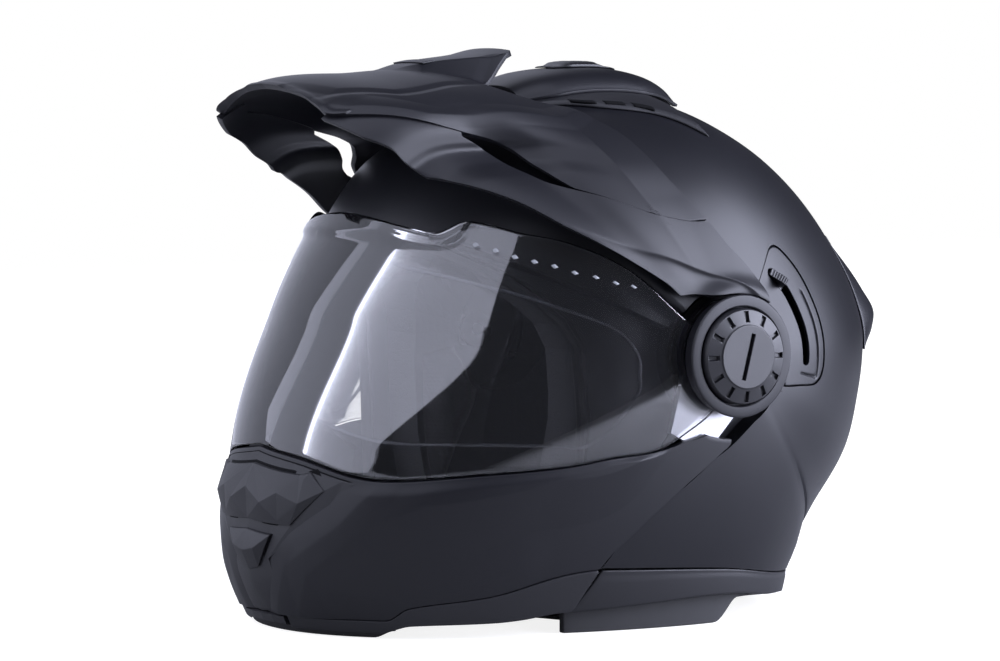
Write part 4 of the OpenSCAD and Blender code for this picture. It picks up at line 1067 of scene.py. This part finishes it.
class HELMET_OT_peak(bpy.types.Operator):
    """Peak: cover with its hood, side blades with their rings"""
    bl_idname = "helmet.peak"
    bl_label = "Peak"

    def execute(self, context):
        def cover_relief(points, f, a):
            f = np.abs(f)
            fold = 1.3 * np.clip(1 - line_gap(f, a, COVER_FOLD) / 4, 0, 1)
            line = -0.8 * np.clip(1 - line_gap(f, a, COVER_LINE) / 1.6, 0, 1)
            lip = 0.9 * (1 - smooth_step(0.4, 1.2, a - curve(COVER_LOW, f))) * (f < 25)
            return fold + line + lip - smooth_step(46, 56, f)
        cols = mirrored(step_cols((0, 30, 100), (30, 61.5, 90)))
        low, high = curve(COVER_LOW, np.abs(cols)), curve(COVER_HIGH, np.abs(cols))
        cover = band("peak_cover_skin", PEAK, cols, low, high, 110, -1, 2, relief=cover_relief,
                     lift=self.hood)
        rounded(cover, 0.9, 3)
        fit(cover, "peak", "peak", "peak", "peak_cover")

        def blade_relief(points, f, a):
            under = 3 * (1 - np.exp(-0.25 * np.clip(curve(BLADE_FOLD, f) - a, 0, None)))
            rho = np.hypot(points[..., 1], points[..., 2])
            collar = np.clip(130.6 - points[..., 0], 0, 8) * np.exp(
                -(np.clip(rho - 28.5, 0, 60) / 6.5) ** 2)
            return collar - 0.5 * under
        cols = step_cols((21.5, 62.5, 120), (62.5, 78, 60))
        under = 1.7 * (1 - smooth_step(36.5, 39.5, cols))
        blade = band("peak_blade_left", PEAK, cols, curve(BLADE_LOW, cols),
                     curve(BLADE_HIGH, cols) + under, 60, 0, 3, relief=blade_relief)
        rounded(blade, 0.9, 3)
        twin = mirror_copy(blade, "peak_blade_right")
        ring = self.ring("peak_ring_left")
        other = mirror_copy(ring, "peak_ring_right")
        fit(blade, "peak", "peak", "peak", "peak_side_left")
        fit(twin, "peak", "peak", "peak", "peak_side_right")
        fit(ring, "peak", "peak", "peak", "peak_side_left")
        fit(other, "peak", "peak", "peak", "peak_side_right")
        dial = self.dial("dial_face_left")
        twin = mirror_copy(dial, "dial_face_right")
        fit(dial, "dial_left", "dial", "dial", "peak_dial_left")
        fit(twin, "dial_right", "dial", "dial", "peak_dial_right")
        fit(self.bare_bar("bare_bar"), "peak", "peak", "trim")
        return {"FINISHED"}

    def hood(self, points):
        """Raises the middle of the cover into a hood with steep sides"""
        t = np.clip((points[..., 1] + HOOD_FRONT) / HOOD_LENGTH, 0, 1)
        a, b = 7 + 18 * t, 13 + 29 * t
        out = points.copy()
        out[..., 2] += 16 * t * np.clip((b - np.abs(points[..., 0])) / (b - a), 0, 1)
        return out

    def ring(self, name):
        """Turned ring of the side blade round the dial"""
        profile = [(3.56, 124), (27.4, 124), (28.6, 130.2), (28.1, 130.8), (27.4, 131),
                   (23.7, 131), (23.1, 130.5), (23.1, 126), (3.56, 126)]
        g = np.linspace(0, 360, 160, endpoint=False)[:, None]
        r, x = np.array(profile).T
        rows = placed(x[None, :], g, r[None, :])
        m, n = rows.shape[:2]
        faces = []
        for i in range(m):
            here, there = i * n, (i + 1) % m * n
            faces += [(here + j, here + (j + 1) % n, there + (j + 1) % n, there + j)
                      for j in range(n)]
        return sharpen(mesh_object(name, rows.reshape(-1, 3), faces), 30)

    def dial(self, name):
        """Screw dial: flat middle with a coin slot, sloping rim with twelve open grips"""
        g = np.linspace(0, 2 * np.pi, 24 * GRIPS, endpoint=False)[:, None]
        r = np.concatenate([np.linspace(0.3, 14.2, 46), np.linspace(14.4, 21.6, 34),
                            [21.9, 22.2, DIAL_R]])[None, :]
        y, z = -r * np.cos(g), r * np.sin(g)
        step = 0.5 * smooth_step(14.5, 15.1, r)
        slope = 0.28 * np.clip(r - DIAL_FLAT, 0, None)
        x = DIAL_FACE - step - slope - 2.2 * smooth_step(21.5, DIAL_R, r) ** 2
        lean = math.radians(75)
        along = y * math.cos(lean) + z * math.sin(lean)
        across = -y * math.sin(lean) + z * math.cos(lean)
        slot = (1 - smooth_step(0.75, 1.15, np.abs(across))) * (
            1 - smooth_step(10.6, 11.1, np.abs(along)))
        turn = (g * GRIPS / (2 * np.pi) + 0.5) % 1 - 0.5
        wide = np.abs(turn) * 2 * np.pi / GRIPS * r
        grip = (1 - smooth_step(0.8, 1.15, wide)) * smooth_step(15.9, 16.3, r) * (
            1 - smooth_step(20.9, 21.2, r))
        x = x - 2 * slot - 1.6 * grip
        front = np.stack(np.broadcast_arrays(x, y, z), -1)
        wall = np.stack(np.broadcast_arrays(DIAL_BACK + 0 * g, y[:, -1:], z[:, -1:]), -1)
        rows = np.concatenate([front, wall], 1)
        m, n = rows.shape[:2]
        verts = np.concatenate([rows.reshape(-1, 3), [[DIAL_FACE, 0, 0], [DIAL_BACK, 0, 0]]])
        faces = grid_faces(m, n, 0, wrap=True)
        faces += [(i * n, (i + 1) % m * n, m * n) for i in range(m)]
        faces += [(i * n + n - 1, (i + 1) % m * n + n - 1, m * n + 1) for i in range(m)]
        return sharpen(mesh_object(name, verts, faces), 40)

    def bare_bar(self, name):
        """Small bare bar across the middle of the hood"""
        f, a = lattice((-5.2, 5.2, 24), (52.6, 54.4, 8))
        outer, inner = PEAK.at(a, f, -1.8), PEAK.at(a, f, -0.5)
        for grid in (outer, inner):
            grid[..., 2] += 16 * np.clip((grid[..., 1] + HOOD_FRONT) / HOOD_LENGTH, 0, 1)
        return rounded(closed_sheet(name, outer, inner), 0.3)


class HELMET_OT_hinge(bpy.types.Operator):
    """Hinge plates, and the sun visor's lever in its cover"""
    bl_idname = "helmet.hinge"
    bl_label = "Hinge and lever"

    def execute(self, context):
        plate = self.lever_cover("lever_cover_left")
        twin = mirror_copy(plate, "lever_cover_right")
        fit(plate, "shell", "trim", "paint", "lever_plate_left")
        fit(twin, "shell", "trim", "paint", "lever_plate_right")
        for side in ("left", "right"):
            dress("pivot_plate_" + side, "dark", 0.3)
            dress("sun_pin_" + side, "steel", 0.2)
        fit(self.lever(), "sun_lever", "trim", "dial", "sun_lever")
        return {"FINISHED"}

    def lever(self):
        """Thumb wedge of the sun visor's lever, on the strip that slides under the cover"""
        def block(name, turns, reach, high, low):
            a, rho = lattice(turns, reach)
            base = shell_x(a, rho)
            return closed_sheet(name, placed(base + high(a), a, rho), placed(base + low, a, rho))

        def wedge(a):
            ridge = smooth_step(128.5, 137.4, a) * (1 - smooth_step(137.4, 139.8, a))
            return 0.8 + 4.8 * ridge + 0.25 * np.sin(a * 5.5) * (ridge > 0.1)
        return rounded(join("lever_wedge", [
            block("thumb", (128.5, 139.8, 30), (46.3, 50.1, 14), wedge, -2.5),
            block("strip", (125, 143, 24), (40, 53, 14), lambda a: -2.6, -5.1)]), 0.35)

    def lever_cover(self, name):
        """Cover flush with the shell: a long slot, and a groove round its outer edge"""
        rim = [(a + (0.45 if a < 160 else -0.45), float(curve(LEVER_RIM, a)) - 0.4)
               for a in np.concatenate([np.linspace(122.7, 132, 30), np.linspace(134, 186, 20),
                                        np.linspace(187, 206, 40)])]
        out = even_loop(rim + [(200, 33.5), (160, 33.5), (130, 33.5), (123.4, 34)], 240)
        slot = even_loop(round_loop(126.8, 188.4, 45.9, 50.5, 2.2), 240)
        rows = np.linspace(0, 1, 44)[None, :, None]
        grid = slot[:, None] * (1 - rows) + out[:, None] * rows
        a, rho = grid[..., 0], grid[..., 1]
        x = shell_x(a, rho) - 0.2
        arc = bump_at(rho, 57.3, 0.6) * smooth_step(150, 152, a) * (1 - smooth_step(193, 194, a))
        turn = bump_at(a, 193.4, 0.5) * smooth_step(45, 46, rho) * (1 - smooth_step(57.3, 58, rho))
        edge = smooth_step(0.985, 1, rows[..., 0]) + 1 - smooth_step(0, 0.02, rows[..., 0])
        top = placed(x - 0.9 * np.maximum(arc, turn) - 0.25 * edge, a, rho)
        low = placed(x - 2, a, rho)
        m, n = top.shape[:2]
        faces = grid_faces(m, n, 0, True) + grid_faces(m, n, m * n, True)
        for j in (0, n - 1):
            for i in range(m):
                k = (i + 1) % m
                faces.append((i * n + j, k * n + j, (m + k) * n + j, (m + i) * n + j))
        verts = np.concatenate([top.reshape(-1, 3), low.reshape(-1, 3)])
        return sharpen(mesh_object(name, verts, faces), 50)


def even_loop(points, count):
    """Even points round a closed line of angle and radius, from its lowest angle on"""
    pts = np.array(points, float)
    pts = np.roll(pts, -int(np.argmin(pts[:, 0] + 0.02 * np.abs(pts[:, 1] - 48))), axis=0)
    area = (pts[:, 0] * np.roll(pts[:, 1], -1) - np.roll(pts[:, 0], -1) * pts[:, 1]).sum()
    if area > 0:
        pts = np.concatenate([pts[:1], pts[:0:-1]])
    pts = np.concatenate([pts, pts[:1]])
    step = np.hypot(np.diff(pts[:, 0]) * 0.85, np.diff(pts[:, 1]))
    t = np.concatenate([[0], np.cumsum(step)])
    s = np.linspace(0, t[-1], count, endpoint=False)
    return np.stack([np.interp(s, t, pts[:, 0]), np.interp(s, t, pts[:, 1])], -1)


def round_loop(a0, a1, r0, r1, corner, count=16, side=40):
    """Rounded sector as pairs of angle and radius: four corners, and points between them"""
    wide = np.degrees(corner / ((r0 + r1) / 2))
    out = []
    mids = [(a1 - wide, r1 - corner, 90), (a0 + wide, r1 - corner, 180),
            (a0 + wide, r0 + corner, 270), (a1 - wide, r0 + corner, 360)]
    corners = []
    for a, r, g in mids:
        turn = np.radians(np.linspace(g - 90, g, count))
        corners.append(np.stack([a + wide * np.cos(turn), r + corner * np.sin(turn)], -1))
    for k, arc in enumerate(corners):
        nxt = corners[(k + 1) % 4][0]
        t = np.linspace(0, 1, side + 1)[1:-1, None]
        out += [arc, arc[-1] * (1 - t) + nxt * t]
    return np.concatenate(out)


class HELMET_OT_crown(bpy.types.Operator):
    """Crown vent with its cover and slider, and the rear spoiler"""
    bl_idname = "helmet.crown"
    bl_label = "Crown vent and spoiler"

    def execute(self, context):
        def hump(f, a):
            """Height of the hump over the shell at a share of its half width"""
            return 2.9 + curve(HUMP_RISE, a) * (1 - np.abs(f) ** 4)

        u, t = lattice((-1, 1, 61), (0, 1, 61))
        a = 66 * (1 - t) + (99 + 5.3 * np.abs(u) ** 3) * t
        edge = np.minimum(1 - smooth_step(0.93, 1, np.abs(u)), 1 - smooth_step(0.965, 1, t))
        step = 1 + 1.6 * edge
        base = closed_sheet("vent_base_skin", SHELL.at(a, u * curve(VENT_SPREAD, t), -step),
                            SHELL.at(a, u * curve(VENT_SPREAD, t), -0.2))
        rounded(base, 0.4)
        fit(base, "shell", "trim", "trim", "vent_base")
        a = np.concatenate([np.linspace(66, 68, 5), np.linspace(69, 112, 70)])
        f, a = np.meshgrid(np.linspace(-1, 1, 61), a, indexing="ij")
        wide = f * curve(HUMP_HALF, a)
        cover = closed_sheet(
            "vent_cover_skin", SHELL.at(a, wide, -hump(f, a) - 1.2 * (np.abs(f) > 0.99)),
            SHELL.at(a, wide, -np.maximum(2.8, hump(f, a) - 2)))
        rounded(cover, 0.6, 3)
        fit(cover, "shell", "trim", "paint", "vent_cover")
        f, a = lattice((-1, 1, 25), (80, 96, 40))
        wide = curve(SLIDER_HALF, a)
        top = hump(f * wide / 12.5, a) + 0.3
        rise = 0.9 + 1.7 * smooth_step(81.5, 84, a) * (1 - smooth_step(89.5, 93, a))
        rise = rise * (1 - 0.5 * f ** 4) + 0.18 * np.sin(a * 9) * (rise > 2.2)
        slider = closed_sheet("vent_slider_skin", SHELL.at(a, f * wide, -top - rise),
                              SHELL.at(a, f * wide, -top))
        rounded(slider, 0.3)
        fit(slider, "vent_slider", "trim", "dial", "vent_slider")
        # Dark sheet across the opening under the cover's front: painted shade in the intake
        f, a = lattice((-9.4, 9.4, 9), (68.5, 69.5, 3))
        low, high = SHELL.at(a, f, -2.9), SHELL.at(a, f, -hump(f / 10, a) + 1.2)
        intake_shade = closed_sheet("vent_veil", high, low)
        fit(intake_shade, "shell", "trim", "dark")
        f, a = lattice((-0.9, 0.9, 3), (66.3, 68, 3))
        post = closed_sheet("vent_post", SHELL.at(a, f, -hump(0 * f, a) + 1), SHELL.at(a, f, -2.7))
        fit(post, "shell", "trim", "trim")
        # Dark strips on the sides of the vent base: painted shade standing in for its slots
        slot_shades = []
        for side in (1, -1):
            for start in (74, 80.5, 87):
                f, a = lattice((0, 1, 8), (0, 1, 12))
                ray = start + 4.6 * a
                t = (ray - 66) / 34
                lat = side * curve(VENT_SPREAD, t) * (0.86 + 0.07 * f)
                slot_shades.append(closed_sheet("slot", SHELL.at(ray, lat, -2.75),
                                          SHELL.at(ray, lat, -1.5)))
        fit(join("vent_slots", slot_shades), "shell", "trim", "dark")
        f, a = lattice((-1, 1, 81), (155, 182.5, 70))
        wide = 24 + 10 * (a - 155) / 27.5
        rise = 1.2 + (curve(SPOILER_RISE, a) - 1) * (1 - np.abs(f) ** 4)
        spoiler = closed_sheet("spoiler_skin", SHELL.at(a, f * wide, -rise),
                               SHELL.at(a, f * wide, -0.3))
        rounded(spoiler, 0.8, 3)
        fit(spoiler, "shell", "shell", "paint", "rear_spoiler")
        return {"FINISHED"}


def back_ray(z):
    """Angle behind at which the shell's middle line stands at a level under the hinge"""
    lo, hi = np.full(np.shape(z), 200.0), np.full(np.shape(z), 268.0)
    for _ in range(24):
        mid = (lo + hi) / 2
        above = curve(SHELL_LINE, mid) * np.sin(np.radians(mid)) > -z
        lo, hi = np.where(above, mid, lo), np.where(above, hi, mid)
    return (lo + hi) / 2


def trim_at(t, z, h):
    """Point of the lower edge, h mm outside the shell, at a share t of the way back and level z"""
    a = BACK_START * (1 - t) + back_ray(z) * t
    rho = z / np.abs(np.sin(np.radians(a)))
    q = np.clip(rho / curve(SHELL_LINE, a), 0, 1)
    half = (curve(SHELL_WIDTH, a) + h) * (1 - q ** SHELL.power) ** (1 / SHELL.power)
    x = np.where(t > 0.9999, 0, half)
    y = -rho * np.cos(np.radians(a)) + h * np.clip((t - 0.4) / 0.6, 0, 1)
    return np.stack([x, y, -z], -1)


def around_back(rows):
    """The same rows carried round to the other side"""
    return np.concatenate([rows, (rows * (-1, 1, 1))[-2::-1]])


class HELMET_OT_base(bpy.types.Operator):
    """Trim band, rubber bead and eye seal"""
    bl_idname = "helmet.base"
    bl_label = "Trim and seals"

    def execute(self, context):
        t = 1 - (1 - np.linspace(0, 1, 90)) ** 1.6
        t = t[:, None]
        seam = curve(SEAM_LINE, BACK_START * (1 - t) + back_ray(np.array(112.0)) * t) + 1
        v = np.linspace(0, 1, 13)[None, :]
        z = seam * (1 - v) + curve(TRIM_FOOT, t) * v
        groove = 0.5 * bump_at(v, 0.12, 0.05)
        trim = closed_sheet("base_trim_skin", around_back(trim_at(t, z, 0.3 + 3.2 * v - groove)),
                            around_back(trim_at(t, z, -2.0 + 0 * v)))
        rounded(trim, 0.9, 3)
        fit(trim, "shell", "trim", "trim", "base_trim")
        foot = curve(TRIM_FOOT, t)
        rows = []
        for h in (-3.0, -8.0):
            upper, lower = trim_at(t, foot - 8, h), trim_at(t, foot, h)
            ground = lower.copy()
            ground[..., 2] = -curve(GROUND, t)
            rows.append(around_back(np.concatenate([upper, lower, ground], 1)))
        bead = closed_sheet("base_bead_skin", *rows)
        rounded(bead, 1.2, 3)
        fit(bead, "shell", "rubber", "rubber", "base_bead")
        dress("eye_seal", "rubber", 0.0)
        return {"FINISHED"}


class HELMET_OT_inside(bpy.types.Operator):
    """Sun visor, foam liner and comfort pads"""
    bl_idname = "helmet.inside"
    bl_label = "Inside"

    def execute(self, context):
        dress("eps_liner", "foam", 0.0)
        dress("sun_visor", "smoke", 0.0)
        dress("breath_guard", "rubber", 0.6)
        for side, end in STRAP_ENDS.items():
            path = smoothed(STRAP_WAY + [end], 70)
            strap = self.webbing("strap_%s_skin" % side, path, 1 if side == "left" else -1)
            fit(strap, "shell", "webbing", "webbing", "strap_" + side)
        for node in ("strap_rivets", "buckle_base", "buckle_tongue"):
            dress(node, "chrome", 0.25)
        dress("buckle_lever", "chrome", 0.4)
        for node in ("crown_pad", "cheek_pad_left", "cheek_pad_right", "neck_roll"):
            pad = self.pad(node)
            fit(pad, "shell", "lining", "knit", node)
        return {"FINISHED"}

    def pad(self, node):
        """Rounded pad from the form of its CAD node"""
        obj = frame["nodes"][node].copy()
        obj.data = obj.data.copy()
        obj.name = node + "_soft"
        obj.parent = None
        for key in list(obj.keys()):
            del obj[key]
        bpy.context.scene.collection.objects.link(obj)
        tidy(obj)
        mod = obj.modifiers.new("soft", "SUBSURF")
        mod.levels = mod.render_levels = 2
        return obj

    def webbing(self, name, path, side):
        """Flat strap with bound edges along a path"""
        ways = np.gradient(path, axis=0)
        ways /= np.linalg.norm(ways, axis=1, keepdims=True)
        up = np.cross((0, 1, 0), ways)
        up /= np.linalg.norm(up, axis=1, keepdims=True)
        across = np.linspace(-0.5, 0.5, 25)[None, :, None]
        half = sizes().strap_wall / 2 / MM - 0.25 * bump_at(np.abs(across), 0.42, 0.03)
        middle = path[:, None] + across * (0, sizes().strap_width / MM, 0)
        rows = [middle + face * half * up[:, None] for face in (1, -1)]
        flip = (side, 1, 1)
        return rounded(closed_sheet(name, rows[0] * flip, rows[1] * flip), 0.4)


# Soft boxes: name, turn from the front and rise in degrees, distance and size in metres, share of
# the main power, and roll in degrees
SOFT_BOXES = [("left_box", -9, 28, 1.2, (2.6, 1.5), 1.0, 40),
              ("top_box", 60, 72, 1.3, (1.2, 1.0), 0.3, 0),
              ("far_box", -85, 20, 1.3, (1.8, 1.8), 0.35, 0),
              ("right_box", 138, 8, 1.4, (1.2, 1.9), 3.8, 0)]
LAMP_TONE = (0.78, 0.81, 1.0)
# Photograph: size in pixels, the pixel where the hinge stands, and the lens in pixels
PICTURE_WIDE, PICTURE_TALL = 1000, 661
HINGE_ACROSS, HINGE_DOWN = 584, 340
LENS_PIXELS = 3876
# Camera: turn from the front and rise in degrees, and distance from the hinge in metres
CAMERA_TURN, CAMERA_RISE, CAMERA_FAR = 56, 4, 1.9
SENSOR = 36


class HELMET_OT_stage(bpy.types.Operator):
    """Floor, soft boxes, world and camera"""
    bl_idname = "helmet.stage"
    bl_label = "Stage"

    def lamp(self, name, place, aim, size, power, roll):
        """Soft box that faces a point"""
        data = bpy.data.lights.new(name, "AREA")
        data.shape = "RECTANGLE"
        data.size, data.size_y = size
        data.energy = power
        data.color = LAMP_TONE
        obj = bpy.data.objects.new(name, data)
        obj.location = place
        turn = (Vector(aim) - Vector(place)).to_track_quat("-Z", "Y")
        obj.rotation_euler = (turn @ Quaternion((0, 0, 1), math.radians(roll))).to_euler()
        bpy.context.scene.collection.objects.link(obj)

    def white_world(self, fill):
        """White behind the helmet and through clear pieces, and a weaker light on it all round"""
        world = bpy.data.worlds.new("studio")
        world.use_nodes = True
        bpy.context.scene.world = world
        nodes, links = world.node_tree.nodes, world.node_tree.links
        path = nodes.new("ShaderNodeLightPath")
        seen = nodes.new("ShaderNodeMath")
        seen.operation = "MAXIMUM"
        links.new(path.outputs["Is Camera Ray"], seen.inputs[0])
        links.new(path.outputs["Is Transmission Ray"], seen.inputs[1])
        tone = nodes.new("ShaderNodeMapRange")
        tone.inputs["To Min"].default_value = fill
        tone.inputs["To Max"].default_value = fill * 0.25
        links.new(path.outputs["Is Glossy Ray"], tone.inputs["Value"])
        white = nodes.new("ShaderNodeMath")
        white.operation = "MAXIMUM"
        links.new(tone.outputs["Result"], white.inputs[0])
        links.new(seen.outputs[0], white.inputs[1])
        links.new(white.outputs[0], nodes["Background"].inputs["Strength"])
        nodes["Background"].inputs["Color"].default_value = (1, 1, 1, 1)

    def floor(self):
        """White floor that keeps the shadow near the helmet and throws less light back up"""
        size = 3.0
        mesh = bpy.data.meshes.new("floor")
        low = CAD_BOX[0][2] - 0.0002
        mesh.from_pydata([(-size, -size, low), (size, -size, low), (size, size, low),
                          (-size, size, low)], [], [(0, 1, 2, 3)])
        obj = bpy.data.objects.new("floor", mesh)
        bpy.context.scene.collection.objects.link(obj)
        fin = Finish("pale_floor", Roughness=0.9)
        path = fin.node("ShaderNodeLightPath", out="Is Camera Ray")
        fin.set(Base_Color=fin.mix(path, (0.4, 0.4, 0.4), (0.9, 0.9, 0.9)))
        glow = fin.node("ShaderNodeEmission", None, {"Color": (1, 1, 1), "Strength": 1.43})
        away = fin.node("ShaderNodeVectorMath", {"operation": "LENGTH"}, {0: fin.place()},
                        out="Value")
        share = 0.6 + 0.4 * fin.ramp(away, 0.2, 0.75)
        mixed = fin.node("ShaderNodeMixShader", None,
                         {0: path * share, 1: Sock(fin, fin.shader.outputs[0]), 2: glow})
        fin.put(fin.nodes["Material Output"], "Surface", mixed)
        mesh.materials.append(fin.material)

    def camera(self):
        """Camera placed as the photograph was taken"""
        back = self.way(CAMERA_TURN, CAMERA_RISE)
        data = bpy.data.cameras.new("camera")
        data.sensor_width = SENSOR
        data.lens = LENS_PIXELS * SENSOR / PICTURE_WIDE
        data.shift_x = -(HINGE_ACROSS - PICTURE_WIDE / 2) / PICTURE_WIDE
        data.shift_y = (HINGE_DOWN - PICTURE_TALL / 2) / PICTURE_WIDE
        obj = bpy.data.objects.new("camera", data)
        obj.location = Vector(HINGE * MM) + back * CAMERA_FAR
        obj.rotation_euler = (-back).to_track_quat("-Z", "Y").to_euler()
        bpy.context.scene.collection.objects.link(obj)
        bpy.context.scene.camera = obj

    def execute(self, context):
        studio = context.scene.helmet_studio
        context.scene.view_settings.view_transform = "Standard"
        self.white_world(studio.fill)
        self.floor()
        self.camera()
        mid = HINGE * MM + Vector((0.06, -0.06, 0.03))
        for name, turn, rise, far, size, power, roll in SOFT_BOXES:
            self.lamp(name, mid + self.way(turn, rise) * far, mid, size, power * studio.key, roll)
        return {"FINISHED"}

    def way(self, turn, rise):
        """Direction at a turn from the front and a rise, in degrees"""
        turn, rise = math.radians(turn), math.radians(rise)
        return Vector((math.sin(turn) * math.cos(rise), -math.cos(turn) * math.cos(rise),
                       math.sin(rise)))


STEPS = (HELMET_OT_finishes, HELMET_OT_shell, HELMET_OT_base, HELMET_OT_chin_bar,
         HELMET_OT_front_vent, HELMET_OT_visor, HELMET_OT_peak, HELMET_OT_hinge,
         HELMET_OT_crown, HELMET_OT_inside, HELMET_OT_stage)


class HELMET_PT_panel(bpy.types.Panel):
    """Sizes, colours, light and steps in the sidebar"""
    bl_label = "Helmet"
    bl_idname = "HELMET_PT_panel"
    bl_space_type = "VIEW_3D"
    bl_region_type = "UI"
    bl_category = "Helmet"

    def draw(self, context):
        for group in (context.scene.helmet_sizes, context.scene.helmet_colours,
                      context.scene.helmet_studio):
            for key in group.__annotations__:
                self.layout.prop(group, key)
        for step in STEPS:
            self.layout.operator(step.bl_idname)


GROUPS = {"helmet_sizes": HelmetSizes, "helmet_colours": HelmetColours,
          "helmet_studio": HelmetStudio}
CLASSES = (*GROUPS.values(), *STEPS, HELMET_PT_panel)


def register():
    """Registers the classes and puts the settings on the scene"""
    for cls in CLASSES:
        bpy.utils.register_class(cls)
    for key, group in GROUPS.items():
        setattr(bpy.types.Scene, key, bpy.props.PointerProperty(type=group))


def unregister():
    """Takes the settings and the classes away again"""
    for key in GROUPS:
        delattr(bpy.types.Scene, key)
    for cls in reversed(CLASSES):
        bpy.utils.unregister_class(cls)


def main():
    """Runs every step in order"""
    register()
    for step in STEPS:
        group, call = step.bl_idname.split(".")
        getattr(getattr(bpy.ops, group), call)()


if __name__ == "__main__":
    main()
